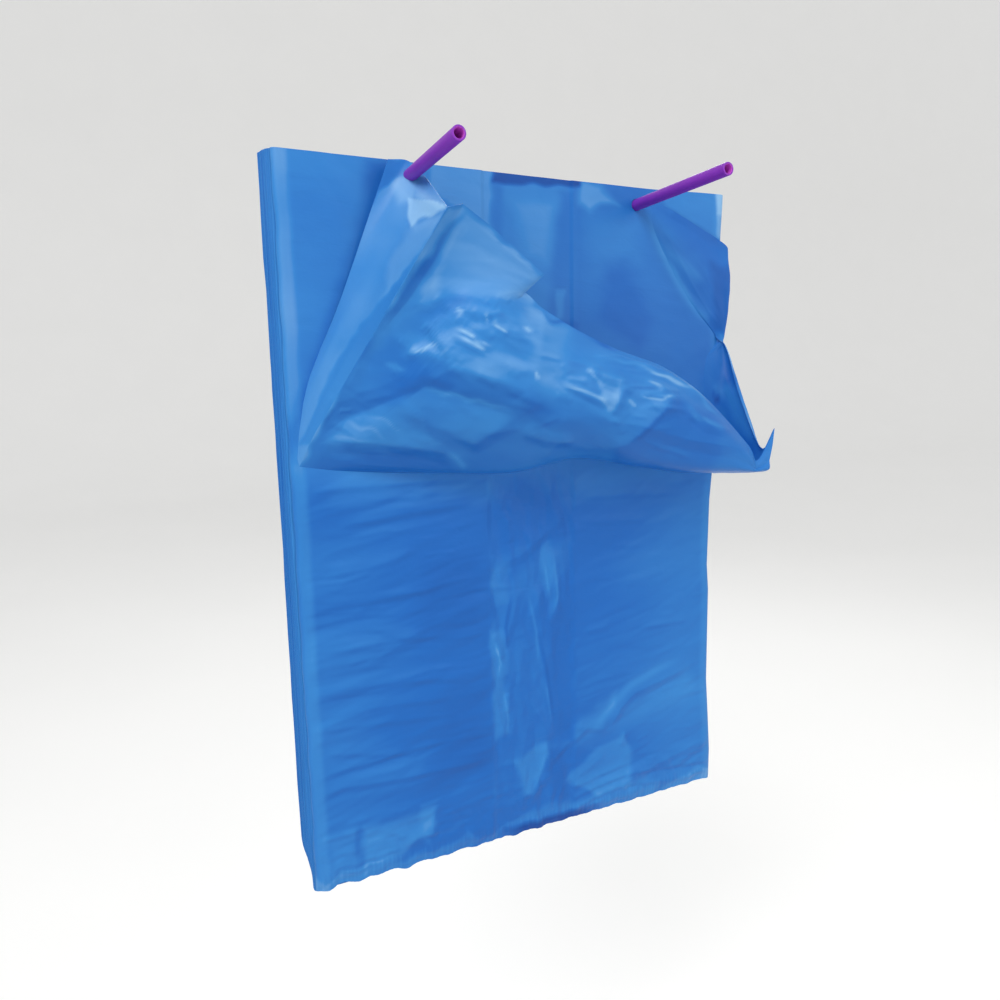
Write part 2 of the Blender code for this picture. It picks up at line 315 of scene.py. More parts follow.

# %% [markdown]
# A mesh of film starts as a grid of places, in rows and columns. One helper turns such a grid into
# faces, and another writes numbers on every point, which a material can read later. The first, tone,
# says how milky or how deep the blue of the film is. Part of it is the film's own: film that lies on
# other layers looks deep, and film that stands off them looks milky. Part of it is painted light and
# shade: painted highlights on sharp bends and facets, painted shade in creases and under folds. The
# second, crush, says how much the film has been handled.

# %% From a grid of places to a mesh
def grid_faces(rows, columns):
    corner = (np.arange(rows - 1)[:, None] * columns + np.arange(columns - 1)).ravel()
    return np.stack([corner, corner + 1, corner + columns + 1, corner + columns], axis=1).tolist()


def write_marks(mesh, **marks):
    for name, values in marks.items():
        layer = mesh.attributes.new(name, "FLOAT", "POINT")
        layer.data.foreach_set("value", np.asarray(values, np.float32).ravel())


@contextmanager
def editing(mesh):
    """Opens a mesh for editing and writes it back."""
    edit = bmesh.new()
    edit.from_mesh(mesh)
    yield edit
    edit.to_mesh(mesh)
    edit.free()


def shade(mesh, sharp_from):
    """Smooth shading, but sharp where two faces meet at more than an angle in degrees."""
    mesh.shade_smooth()
    mesh.set_sharp_from_angle(angle=math.radians(sharp_from))


def plain_mesh(made, name):
    """The object's mesh with its modifiers applied, as a new mesh."""
    graph = bpy.context.evaluated_depsgraph_get()
    mesh = bpy.data.meshes.new_from_object(made.evaluated_get(graph), depsgraph=graph)
    mesh.name = name
    made.modifiers.clear()
    return mesh


def even(stops, steps):
    """Places from the first stop to the last, with even steps in each stretch between stops."""
    runs = [np.linspace(low, high, count + 1)[1:] for low, high, count in zip(stops, stops[1:], steps)]
    return np.concatenate([[stops[0]], *runs])


print("faces of a 3 by 4 grid:", len(grid_faces(3, 4)))

# %% [markdown]
# ## The pressed bag
#
# Below the hem fold the front bag still lies flat on the block, and above it its back shows through
# the open mouth. Both are one flat body with a creased face. Its gussets are folded in between the
# front and the back, so it has four layers at the sides and two in a strip down the middle, which
# sits lower and crinkles more, because nothing stiffens it.
#
# The creases are drawn on the bag in millimetres: right of its middle, and below its mouth.

# %% Creases of the pressed bag
# height, reach above, reach below, line
pressed_folds = [
    (0.75, 7, 3, [(-138, 170), (-88, 169), (-21, 170)]),
    (0.50, 6, 3, [(-124, 181), (-82, 177), (-52, 176)]),
    (0.60, 7, 3, [(-116, 190), (-76, 186), (-34, 184)]),
    (0.45, 5, 3, [(-115, 197), (-76, 195), (-48, 191)]),
    (0.60, 8, 3, [(-126, 216), (-104, 215), (-85, 211), (-72, 206)]),
    (0.65, 8, 3, [(-132, 234), (-100, 234), (-78, 232), (-48, 226)]),
    (0.50, 6, 3, [(-102, 250), (-82, 258), (-50, 263), (-29, 263)]),
    (0.45, 5, 3, [(-116, 259), (-95, 257)]),
    (0.40, 5, 2.5, [(-117, 268), (-89, 264)]),
    (0.95, 9, 3.5, [(-138, 283), (-104, 283), (-79, 284), (-40, 289)]),
    (0.55, 6, 3, [(-110, 296), (-54, 299)]),
    (0.55, 7, 3, [(-137, 303), (-97, 306), (-47, 310)]),
    (0.55, 7, 3, [(-133, 317), (-98, 325), (-79, 329), (-56, 324)]),
    (1.15, 9, 4, [(-136, 343), (-123, 340), (-90, 342), (-28, 344)]),
    (0.60, 8, 3.5, [(-110, 364), (-80, 366), (-53, 366)]),
    (0.80, 3, 7, [(-117, 366), (-117, 384)]),
    (0.75, 6, 4, [(-114, 372), (-103, 370), (-85, 382)]),
    (0.75, 5, 4, [(-79, 370), (-68, 369), (-71, 387)]),
    (0.50, 5, 3, [(33, 186), (63, 187), (110, 189)]),
    (0.45, 5, 3, [(30, 201), (48, 203), (86, 205)]),
    (0.55, 7, 3, [(79, 277), (121, 278)]),
    (0.50, 6, 3, [(37, 274), (56, 273)]),
    (1.15, 9, 4, [(10, 358), (24, 347), (40, 338)]),
    (0.90, 7, 4, [(29, 336), (54, 344)]),
    (1.25, 10, 5, [(55, 344), (64, 330), (75, 322), (119, 312)]),
    (1.20, 9, 5, [(58, 390), (78, 381), (106, 375), (132, 369)]),
    (0.70, 4, 5, [(64, 358), (68, 348)]),
    (0.75, 7, 4, [(29, 371), (54, 360)]),
]

# The strip down the middle, where the folds run more up and down
centre_folds = [
    (0.70, 3, 5, [(-16, 194), (-15, 210)]),
    (0.90, 5, 9, [(24, 196), (-9, 219), (-25, 222)]),
    (1.10, 10, 4, [(13, 214), (16, 249), (11, 265)]),
    (0.85, 4, 7, [(-8, 237), (-20, 274)]),
    (0.80, 6, 5, [(2, 238), (6, 274)]),
    (0.90, 4, 4, [(-27, 264), (-21, 282)]),
    (0.90, 4, 4, [(-26, 274), (-20, 296)]),
    (0.90, 3, 6, [(-28, 298), (-21, 334)]),
    (0.80, 4, 4, [(-18, 304), (-18, 318)]),
    (0.90, 5, 6, [(2, 317), (12, 342)]),
    (0.80, 9, 4, [(6, 274), (13, 342)]),
    (1.20, 5, 8, [(-14, 347), (-4, 380)]),
    (1.20, 7, 5, [(-4, 380), (7, 366), (8, 341)]),
]
print(len(pressed_folds) + len(centre_folds), "creases drawn on the pressed bag")

# %% [markdown]
# Between the creases that show from a step away, the film has dozens of faint ones. They follow a
# rule, so they are drawn by chance from a fixed seed: nearly level on the two sides, and mostly up
# and down on the middle strip.

# %% Faint creases
FAINT_BEND = 0.12
FAINT_REACH = (1.6, 4.2)


def faint_creases(seed, count, across, down, length, slant, rise):
    """Creases by chance. The ranges are of their places, lengths, slants in degrees and heights."""
    dice = np.random.default_rng(seed)
    for _ in range(count):
        middle = np.array([dice.uniform(*across), dice.uniform(*down)])
        half = dice.uniform(*length) / 2
        lean = math.radians(dice.uniform(*slant))
        run = np.array([math.cos(lean), math.sin(lean)]) * half
        bend = dice.uniform(-FAINT_BEND, FAINT_BEND) * half
        corner = middle + np.array([run[1], -run[0]]) / half * bend
        reach = dice.uniform(*FAINT_REACH)
        height = dice.uniform(*rise)
        yield height, reach * dice.uniform(1.0, 1.9), reach, [middle - run, corner, middle + run]


# seed, count, range across and down, of length, of slant and of height
faint_rules = [
    (11, 70, (-132, -34), (168, 392), (18, 64), (-6, 3), (0.10, 0.34)),
    (12, 42, (36, 132), (178, 392), (14, 50), (-12, 6), (0.06, 0.24)),
    (13, 34, (-24, 22), (176, 385), (10, 34), (60, 118), (0.12, 0.42)),
    (14, 26, (-132, 132), (355, 392), (8, 26), (-30, 12), (0.10, 0.30)),
]
faint = [fold for rule in faint_rules for fold in faint_creases(*rule)]
print(len(faint), "faint creases")

# %% [markdown]
# The face of the pressed bag is a grid, fine where it is creased. For each point the depth of the
# flat bag is worked out first: edges that turn back, the seal along the bottom, the lower strip in
# the middle. The creases are then laid on it. The back is plain and flat, and a band of faces joins
# the two all round, so the piece is one closed body.

# %% The face of the pressed bag
EDGE_COLUMNS, PRESSED_COLUMNS = 6, 264
TOP_ROWS, PLAIN_ROWS, CREASED_ROWS = 14, 60, 232
TOP_BAND = 0.014
CREASED_FROM = 0.140
HEM_FROM, HEM_TO = 0.150, 0.170
SEAL_HEIGHT = 0.007
EDGE_DROP, SEAL_DROP, STRIP_DROP = 1.9 * MM, 1.2 * MM, 0.8 * MM
STRIP_RAMP, RAMP_IN_MOUTH = 4.5 * MM, 1.0 * MM
DRAWN_HEIGHT = 0.85

columns_x = even([-half_width, -half_width + EDGE_RADIUS, half_width - EDGE_RADIUS, half_width],
                 [EDGE_COLUMNS, PRESSED_COLUMNS, EDGE_COLUMNS])
rows_down = even([0.0, TOP_BAND, CREASED_FROM, bag_height], [TOP_ROWS, PLAIN_ROWS, CREASED_ROWS])
face_x, face_down = np.meshgrid(columns_x, rows_down)
drawn = np.stack([face_x, face_down], axis=-1) / MM

inside_edge = np.clip(EDGE_RADIUS - (half_width - np.abs(face_x)), 0, None) / EDGE_RADIUS
turned_back = EDGE_DROP * (1 - np.sqrt(np.clip(1 - inside_edge ** 2, 0, None)))
sealed = SEAL_DROP * smooth(bag_height - SEAL_HEIGHT, bag_height, face_down)
half_ramp = (STRIP_RAMP - (STRIP_RAMP - RAMP_IN_MOUTH) * (1 - smooth(HEM_FROM, HEM_TO, face_down))) / 2
strip = 1 - smooth(centre_half - half_ramp, centre_half + half_ramp, np.abs(face_x))
depth = np.maximum(np.maximum(STRIP_DROP * strip, turned_back), sealed)

height = DRAWN_HEIGHT * folded(drawn, pressed_folds + centre_folds, sharp=1.15) + folded(drawn, faint)
print("tallest crease:", round(height.max(), 2), "mm")

# %% [markdown]
# Pleats and facets are laid between the drawn creases. On the two sides they run nearly level and
# rise a little to the right, gentle above and steep below, the way film sags. On the middle strip
# they run up and down, and by the bottom seal they are short and gathered.

# %% Pleats and facets of the pressed bag
left_side = smooth(-centre_half / MM + 1, -centre_half / MM - 3, drawn[..., 0])
right_side = smooth(centre_half / MM - 1, centre_half / MM + 3, drawn[..., 0])
middle = 1 - np.maximum(left_side, right_side)
by_seal = smooth(368, 382, drawn[..., 1])
low_part = smooth(300, 345, drawn[..., 1])
creased = smooth(HEM_FROM, HEM_TO + 2 * MM, face_down)

# where, height in mm, pitch in mm, lean in degrees, crest's place in the pitch, seed
pressed_pleats = [
    (left_side, 0.24, 11.0, -4, 0.75, 41),
    (left_side, 0.14, 5.6, -6, 0.70, 44),
    (right_side * (0.3 + 0.7 * low_part), 0.60, 11.0, -8, 0.72, 51),
    (right_side * low_part, 0.90, 19.0, -22, 0.72, 57),
]
# where, height in mm, length and height of a facet in mm, lean in degrees, seed
pressed_facets = [
    (creased * left_side, 0.62, (42, 11), -5, 81),
    (creased * left_side, 0.24, (17, 5), -8, 84),
    (creased * right_side, 0.34, (38, 13), -10, 87),
    (creased * right_side, 0.16, (12, 4.5), -8, 90),
    (creased * middle, 0.62, (22, 6.5), 82, 93),
    (creased * middle, 0.32, (9, 3.4), 97, 96),
    (creased * by_seal, 0.42, (11, 6), 84, 99),
    (creased * by_seal, 0.22, (5, 3), 97, 102),
    (1 - creased, 0.22, (30, 11), 60, 105),
    (1 - creased, 0.10, (11, 5), 20, 108),
]
for where, rise, *rule in pressed_pleats:
    height += creased * where * rise * pleats(drawn, *rule)
for where, rise, *rule in pressed_facets:
    height += where * rise * facets(drawn, *rule)

edge_fade = 1 - smooth(half_width - 2 * EDGE_RADIUS, half_width, np.abs(face_x))
low_fade = 1 - 0.4 * smooth(bag_height - SEAL_HEIGHT, bag_height, face_down)
height *= edge_fade * low_fade * MM
print("tallest crease with its pleats:", round(height.max() / MM, 2), "mm")

# %% [markdown]
# The bottom seal isn't ruler straight: heat has drawn it up a little here and there, most on the
# left, and its edge is crimped by short upright ticks. The left side bows in and out by a fraction of
# a millimetre. The right side is drawn in further, by up to 5 mm below the hem, and stands out again at
# the bottom. The same line shapes the leaves behind it.

# %% The sides and the sealed bottom edge
TICK_PITCH, TICK_HEIGHT = 3.1, 0.12
TICKS_FROM, TICKS_TO = 0.012, 0.006
LOW_BAND, SIDE_BAND, TOP_CORNER = 0.03, 0.03, 0.03
BOW_WIDTH = 0.035
CORNER_OUT, CORNER_UP = 1.2 * MM, 1.6 * MM
RIGHT_BOW_DOWN = [0.150, 0.178, 0.196, 0.241, 0.259, 0.324, 0.351, 0.378, 0.400]
RIGHT_BOW = [0.0, -0.0020, -0.0036, -0.0044, -0.0028, -0.0026, -0.0004, 0.0016, 0.0014]


def wander(value, seed, waves, size):
    """A smooth line that wanders by chance, the same each time."""
    dice = np.random.default_rng(seed)
    total = np.zeros_like(value)
    for wave in waves:
        total += np.sin(value / wave * 2 * math.pi + dice.uniform(0, 6.28)) * dice.uniform(0.5, 1.0)
    return size * total / len(waves)


def right_bow(across, down):
    """How far the right side stands out at a depth below the mouth, fading away to the middle."""
    fade = smooth(half_width - BOW_WIDTH, half_width, across)
    return np.interp(down, RIGHT_BOW_DOWN, RIGHT_BOW) * fade


edge_wave = wander(columns_x, 21, (0.083, 0.023, 0.017, 0.009), 1.2 * MM)
edge_wave += smooth(0.02, -0.05, columns_x) * wander(columns_x, 24, (0.024, 0.015), 1.6 * MM)
side_wave = wander(rows_down, 22, (0.14, 0.053, 0.027), 0.6 * MM)
near_bottom = smooth(bag_height - LOW_BAND, bag_height, face_down)
near_left = smooth(half_width - SIDE_BAND, half_width, -face_x)
tick_phase = wander(columns_x, 23, (0.021, 0.013), 5.0)
ticks = np.sin(drawn[..., 0] / TICK_PITCH * 2 * math.pi + tick_phase)
tick_band = smooth(bag_height - TICKS_FROM, bag_height - TICKS_TO, face_down)
top_corner = smooth(tube_x, half_width, face_x) * smooth(TOP_CORNER, 0.0, face_down)

across = face_x - near_left * side_wave[:, None] + right_bow(face_x, face_down)
across += CORNER_OUT * top_corner
upward = mouth_z - face_down + near_bottom * edge_wave[None, :] + CORNER_UP * top_corner
lifted = height + TICK_HEIGHT * MM * ticks * tick_band * edge_fade
flat_places, places = (np.stack([across, film_y + y, upward], axis=-1) for y in (depth, depth - lifted))
print("bottom edge wanders by", round(float(np.ptp(edge_wave)) / MM, 2), "mm")

# %% [markdown]
# The tone goes from -1, deep, to 1, milky. The bag's folded edges are paler, a painted highlight where
# many layers turn. Inside the mouth the film is painted paler than on the pressed face, painted light
# that stands for the light through the open panel, and the gusset's edge gets a painted shade line
# beside the middle strip, with a painted shadow in the gap along the top of that strip. A band under
# the hem is painted lighter against the panel's shadow, the creases get painted highlights and painted
# shade, and each crease's slopes are painted by how they turn to the light. The outlines are drawn on
# points that have been moved a little by chance, so no edge of a patch is straight.

# %% Tone of the pressed bag, with its painted light and shade
# How much paler the inside of the mouth is painted: painted light.
MOUTH_PAINTED_LIGHT = 0.30
# How strongly each crease's turn to the light is painted: painted shade.
PRESSED_PAINTED_SHADE = 0.56

# Painted light and shade inside the mouth: a painted shadow in the gap along the top of the middle strip,
# painted shade lines by the gusset folds and beside the left facet, a darker painted right side, and painted
# light patches.
# outline in pixels, softness, change of tone
mouth_light_and_shade = [
    ([(430, 160), (491, 166), (491, 232), (470, 219), (452, 205), (430, 190)], 2.5, 0.20),
    ([(493, 160), (582, 164), (581, 187), (544, 185), (493, 183)], 2.5, -1.0),
    ([(493, 179), (504, 181), (500, 250), (493, 240)], 4.0, -0.14),
    ([(512, 200), (556, 204), (550, 262), (528, 258)], 12.0, 0.20),
    ([(560, 192), (577, 190), (577, 330), (545, 330), (552, 270)], 7.0, -0.20),
    ([(555, 288), (566, 288), (562, 318), (557, 320)], 3.0, 0.26),
    ([(581, 182), (600, 184), (618, 206), (602, 204), (590, 212), (579, 204)], 5.0, 0.42),
    ([(577, 178), (640, 182), (730, 192), (735, 470), (540, 330), (577, 320)], 5.0, -0.20),
    ([(590, 214), (640, 222), (640, 262), (600, 270), (584, 240)], 14.0, 0.14),
    ([(604, 262), (628, 258), (650, 320), (640, 350), (600, 318)], 12.0, -0.14),
    ([(655, 186), (726, 192), (724, 244), (698, 226), (666, 206)], 3.0, 0.20),
    ([(715, 190), (728, 190), (726, 216), (716, 214)], 2.0, 0.45),
    ([(716, 214), (727, 214), (725, 242), (718, 238)], 2.0, 0.22),
    ([(366, 160), (391, 160), (395, 185), (379, 221), (336, 320), (306, 408), (294, 460), (286, 440),
      (312, 370), (340, 280), (362, 215)], 10.0, -0.34),
]
# Painted light and shade on the pressed face: painted highlights on facets of the middle strip, the seal and
# the lower creases, a band under the hem painted lighter against the panel's shadow, and painted shade
# patches.
# outline in millimetres on the bag, softness, change of tone
face_light_and_shade = [
    ([(12, 212), (19, 249), (11, 265), (6, 236), (6, 219)], 2.5, 0.16),
    ([(-28, 216), (26, 208), (23, 346), (-27, 352)], 3.0, 0.07),
    ([(-29, 222), (-17, 220), (-16, 246), (-27, 248)], 3.0, 0.14),
    ([(-29, 262), (-20, 264), (-18, 330), (-26, 330)], 2.5, 0.16),
    ([(-14, 350), (10, 341), (8, 352), (-4, 376), (-8, 376)], 2.5, 0.26),
    ([(6, 240), (26, 235), (26, 345), (14, 342)], 5.0, -0.14),
    ([(-24, 172), (24, 172), (22, 208), (-20, 236)], 6.0, -0.10),
    ([(-116, 150), (150, 150), (150, 172), (40, 186), (-30, 178), (-116, 172)], 12.0, 0.22),
    ([(-111, 368), (-68, 367), (-68, 377), (-84, 388), (-100, 392), (-112, 393)], 4.0, 0.30),
    ([(-78, 362), (-67, 362), (-70, 388), (-76, 386)], 3.0, 0.16),
    ([(-132, 366), (-118, 366), (-116, 392), (-132, 394)], 4.0, 0.14),
    ([(22, 372), (44, 356), (66, 348), (74, 366), (72, 388), (46, 388)], 2.5, 0.28),
    ([(27, 346), (46, 338), (60, 328), (62, 316), (56, 318), (44, 330), (28, 336)], 3.0, 0.16),
    ([(10, 348), (22, 352), (24, 384), (14, 386)], 3.0, -0.16),
    ([(24, 347), (64, 330), (119, 312), (130, 330), (70, 345), (40, 356)], 8.0, 0.14),
    ([(-70, 216), (-34, 212), (-32, 262), (-74, 262)], 9.0, -0.14),
    ([(-60, 300), (-34, 296), (-32, 350), (-70, 352)], 10.0, -0.12),
]
# Painted highlights along creases, and painted shade lines where the change is negative.
# half width in mm, change of tone, line in millimetres on the bag
face_highlights_and_shade_lines = [
    (0.9, 0.20, [(14, 216), (17, 246), (13, 262)]),
    (0.8, 0.18, [(8, 222), (12, 250)]),
    (0.9, 0.26, [(-27, 268), (-23, 284), (-25, 296)]),
    (0.9, 0.22, [(-21, 300), (-18, 322), (-20, 334)]),
    (0.9, 0.20, [(-4, 240), (2, 268), (4, 292)]),
    (0.9, -0.30, [(-14, 240), (-19, 262), (-17, 280)]),
    (1.2, -0.26, [(2, 262), (10, 300), (14, 338)]),
    (1.0, 0.22, [(8, 300), (13, 334)]),
    (3.2, 0.22, [(24, 352), (48, 337), (60, 325), (72, 316), (96, 308), (119, 302)]),
    (1.0, 0.20, [(-4, 376), (4, 362), (8, 346)]),
]
# A painted highlight along the web's mouth edge, on the web and on the back of the mouth. half width in
# pixels, change of tone, line
web_edge_highlight = (4.0, 0.30, [(645, 208), (655, 235), (667, 262), (684, 293), (699, 314), (722, 336)])

mouth_part = 1 - smooth(HEM_FROM - 2 * MM, HEM_TO + 2 * MM, face_down)
face_part = 1 - mouth_part
# The inside of the mouth is painted paler: painted light, standing in for the light through the open panel.
tone = MOUTH_PAINTED_LIGHT * mouth_part
tone += face_part * left_side * (0.16 * smooth(-60, -135, drawn[..., 0]) - 0.05)
tone += face_part * right_side * (0.20 * smooth(35, 125, drawn[..., 0]) - 0.01)
# Painted highlights along the two folded side edges.
left_pale = smooth(-0.1305, -0.1345, face_x) - 0.5 * smooth(-0.1375, -0.1395, face_x)
tone += 0.22 * left_pale + 0.16 * smooth(0.1295, 0.1360, face_x)

# Paler by the seal where it is gathered, a painted highlight on the crest of each tick, and darker in the
# middle of the bottom edge.
by_edge = smooth(386, 398, drawn[..., 1])
gathered = smooth(-0.1, 0.5, facets(drawn, (14, 9), 10, 111) + by_edge - 0.25)
tone += 0.20 * gathered * smooth(370, 392, drawn[..., 1]) + 0.10 * np.clip(ticks, 0, 1) * tick_band
tone -= 0.95 * smooth(392.5, 397, drawn[..., 1]) * smooth(42, 18, np.abs(drawn[..., 0] - 12))

# The drawn painted light and shade, a little tone by chance, and painted shade from how each crease turns to
# the light.
pixels = seen_at(flat_places)
tone += mouth_part * (painted(ragged(pixels, 13, 2.0, 114), mouth_light_and_shade) + streaked(pixels, [web_edge_highlight]))
tone += painted(ragged(drawn, 9, 2.4, 117), face_light_and_shade) + streaked(drawn, face_highlights_and_shade_lines)
tone += 0.07 * soft_noise(drawn, (42, 26), 120) - PRESSED_PAINTED_SHADE * painted_relief_shade(places, flat_places)
tone = np.clip(tone, -1, 1)
crush = np.maximum(face_part * middle, 0.8 * by_seal)
print("tone from", round(float(tone.min()), 2), "to", round(float(tone.max()), 2))

# %% [markdown]
# The front grid, a flat back of the same outline and a band of faces between the two make the bag one
# closed body. The holes for the tubes are punched through it later.

# %% The pressed bag as a closed body
RIM_TONE = 0.2
FILM_SHARP_FROM = 60


def closed_slab(name, front, back_y, tone, crush):
    """A closed body from a grid of front places, with a flat back of the same outline."""
    rows, columns = front.shape[:2]
    rim = [(0, c) for c in range(columns)] + [(r, columns - 1) for r in range(1, rows)]
    rim += [(rows - 1, c) for c in range(columns - 2, -1, -1)] + [(r, 0) for r in range(rows - 2, 0, -1)]
    front_rim = [r * columns + c for r, c in rim]
    back_rim = [rows * columns + index for index in range(len(rim))]
    back_places = [(front[r, c, 0], back_y, front[r, c, 2]) for r, c in rim]
    faces = grid_faces(rows, columns)
    for index in range(len(rim)):
        after = (index + 1) % len(rim)
        faces.append([front_rim[after], front_rim[index], back_rim[index], back_rim[after]])
    mesh = bpy.data.meshes.new(name)
    mesh.from_pydata(front.reshape(-1, 3).tolist() + back_places, [], faces)
    write_marks(mesh, tone=np.append(tone, np.full(len(rim), RIM_TONE)),
                crush=np.append(crush, np.zeros(len(rim))))
    with editing(mesh) as edit:
        bmesh.ops.contextual_create(edit, geom=[edge for edge in edit.edges if edge.is_boundary])
        bmesh.ops.recalc_face_normals(edit, faces=edit.faces)
    shade(mesh, FILM_SHARP_FROM)
    return link(bpy.data.objects.new(name, mesh))


pressed_bag = closed_slab("pressed_bag", places, pressed_back_y, tone, crush)
print("pressed bag:", len(pressed_bag.data.polygons), "faces")

# %% [markdown]
# ## The open film
#
# The front panel and the two gusset webs are one sheet. It is lofted through a cage: columns of six
# points from its root on the pressed face, over the hem fold and the belly, to the mouth's edge. A
# curve that passes through every point is used up the columns and then across them. The sheet is
# made of three stretches, left web, panel and right web, so that the folds between them stay sharp.

# %% The cage of the open film
# mm right of the middle, mm out from the pressed face, mm below the mouth, as a negative height
left_web = [
    [(-137, -1, -148), (-130, -0.6, -117), (-123, -0.3, -100), (-111, 1, -74), (-96, 5, -35),
      (-84, 9, -2.5)],
    [(-137, -1.0, -151), (-129, 3, -122), (-120, 7, -100), (-105, 11, -70), (-86, 12, -30),
      (-74, 10, -2.5)],
    [(-137, -1.0, -153), (-128, 6, -129), (-117, 13, -106), (-101, 20, -74), (-83, 23, -38),
      (-68, 16, -10)],
    [(-137, -1.0, -155), (-129, 7, -135), (-119, 15, -115), (-103, 27, -85), (-87, 37, -53),
      (-71, 40, -23)],
    [(-136, -1.0, -158), (-129, 8, -141), (-121, 16, -126), (-105, 32, -96), (-90, 49, -67),
      (-74, 65, -37)],
]
front_panel = [
    left_web[-1],
    [(-129, -1.0, -159), (-126, 4, -151), (-119, 11, -140), (-102, 29, -106), (-84, 46, -72),
      (-65, 61, -34)],
    [(-118, -0.6, -160), (-116, 3, -156), (-113, 8, -149), (-96, 28, -123), (-73, 48, -76), (-50, 58, -42)],
    [(-86, -0.6, -163), (-87, 7, -160), (-85, 14, -153), (-77, 42, -116), (-60, 55, -76), (-18, 52, -62)],
    [(-50, -1.0, -165), (-54, 10, -164), (-55, 20, -159), (-54, 50, -124), (-47, 60, -86), (-28, 50, -71)],
    [(-15, -1.6, -163), (-19, 14, -164), (-22, 28, -161), (-23, 55, -130), (-22, 60, -101), (-6, 50, -85)],
    [(20, -1.6, -157), (15, 20, -159), (11, 38, -155), (6, 57, -136), (8, 60, -112), (26, 48, -98)],
    [(55, -1.0, -161), (51, 22, -164), (47, 42, -162), (42, 55, -145), (43, 58, -122), (60, 48, -109)],
    [(93, -0.6, -170), (87, 24, -171), (82, 44, -168), (83, 52, -154), (84, 53, -138), (92, 46, -127)],
    [(124, -0.6, -176), (122, 24, -174), (121, 45, -171), (122, 48, -166), (122, 49, -161),
      (124, 46, -155)],
    [(134, -0.6, -177), (133, 24, -175), (131, 45, -172), (132, 46, -170), (132, 46, -168),
      (133, 45, -165)],
    [(139, -0.6, -178), (140, 22, -175), (141, 45, -172), (142, 46, -165), (144, 46, -156),
      (146, 45, -146)],
]
right_web = [
    front_panel[-1],
    [(132, -0.5, -166), (139, 12, -164), (142, 26, -163), (143, 34, -162), (143, 37, -160),
      (142, 38, -158)],
    [(128, -0.5, -138), (136, 5, -136), (140, 12, -133), (142, 17, -130), (142, 20, -127), (140, 19, -124)],
    [(128, -0.5, -104), (134, 1.2, -103), (139, 2.6, -101), (141, 4, -99), (141, 5.2, -97),
      (140.5, 6.2, -95)],
    [(132, -0.5, -97), (136, 0.8, -95), (139, 1.8, -93), (140.5, 2.6, -91), (139.5, 2.4, -90),
      (137, 1.4, -89)],
    [(138, -1, -90), (140.5, 0.9, -88), (141.5, 2.4, -86), (141, 2.6, -84), (138, 1.4, -83),
      (134, -0.3, -84)],
    [(138, -1, -80), (142, 1.8, -73), (143, 4, -65), (138, 2.6, -61), (128, 0.9, -64), (119, -0.4, -70)],
    [(138, -1, -66), (142, 1.8, -58), (143.5, 4, -49), (131, 2.2, -43), (116, 0.8, -42), (100, -0.4, -47)],
    [(138, -1, -54), (142, 1.3, -47), (143, 2.2, -38), (125, 1.4, -28), (105, 0.6, -22), (86, -0.4, -24)],
    [(138, -1, -44), (142, 0.5, -37), (143, 1.1, -30), (122, 0.8, -21), (101, 0.5, -12), (75, -0.3, -1)],
]
print("cage columns:", len(left_web), len(front_panel), len(right_web))

# %% The sheet lofted through the cage
ROWS_BETWEEN = [12, 20, 30, 30, 26]
STEPS_LEFT, STEPS_PANEL, STEPS_RIGHT = 13, 21, 9
CRISP_COLUMNS = 4.6

levels_up = len(ROWS_BETWEEN)
film_levels = even(list(range(levels_up + 1)), ROWS_BETWEEN)
row_share = film_levels[:, None] / levels_up


def through(points, places, crisp=0.0):
    """Curves through rows of given points. crisp goes from 0, smooth, to 1, straight between points."""
    points = np.asarray(points, float)
    padded = np.concatenate([[2 * points[0] - points[1]], points, [2 * points[-1] - points[-2]]])
    index = np.minimum(np.asarray(places).astype(int), len(points) - 2)
    t = (places - index).reshape(-1, *[1] * (points.ndim - 1))
    p0, p1, p2, p3 = (padded[index + step] for step in range(4))
    curved = 0.5 * (2 * p1 + (p2 - p0) * t + (2 * p0 - 5 * p1 + 4 * p2 - p3) * t * t
                    + (p1 * 3 - p0 - p2 * 3 + p3) * t * t * t)
    return curved + (p1 * (1 - t) + p2 * t - curved) * crisp


def lofted(cage, steps, crisp_columns=0.0):
    """Rows and columns of places, in metres. By the mouth the first columns are joined straight."""
    levels = through(np.array(cage, float).transpose(1, 0, 2), film_levels)
    columns = np.linspace(0, len(cage) - 1, (len(cage) - 1) * steps + 1)
    crisp = smooth(crisp_columns, crisp_columns - 0.6, columns)[:, None] * smooth(0.82, 1, row_share.T)
    sheet = through(levels.transpose(1, 0, 2), columns, crisp[..., None]).transpose(1, 0, 2)
    return np.array([0, film_y, mouth_z]) + sheet * np.array([1, -1, 1]) * MM


web_sheet = lofted(left_web, STEPS_LEFT)
panel_sheet = lofted(front_panel, STEPS_PANEL, CRISP_COLUMNS)
film = np.concatenate([web_sheet, panel_sheet[:, 1:], lofted(right_web, STEPS_RIGHT)[:, 1:]], axis=1)
left_fold = web_sheet.shape[1] - 1
right_fold = left_fold + panel_sheet.shape[1] - 1
print("open film:", film.shape[:2], "side folds at columns", left_fold, right_fold)

# %% [markdown]
# The folds of the open film are drawn where they are seen, in pixels. Each one lifts the sheet along
# its own normal. They only touch the part of the sheet above the hem fold, and each belongs to one
# stretch, so a line drawn on the panel doesn't mark the web behind it.

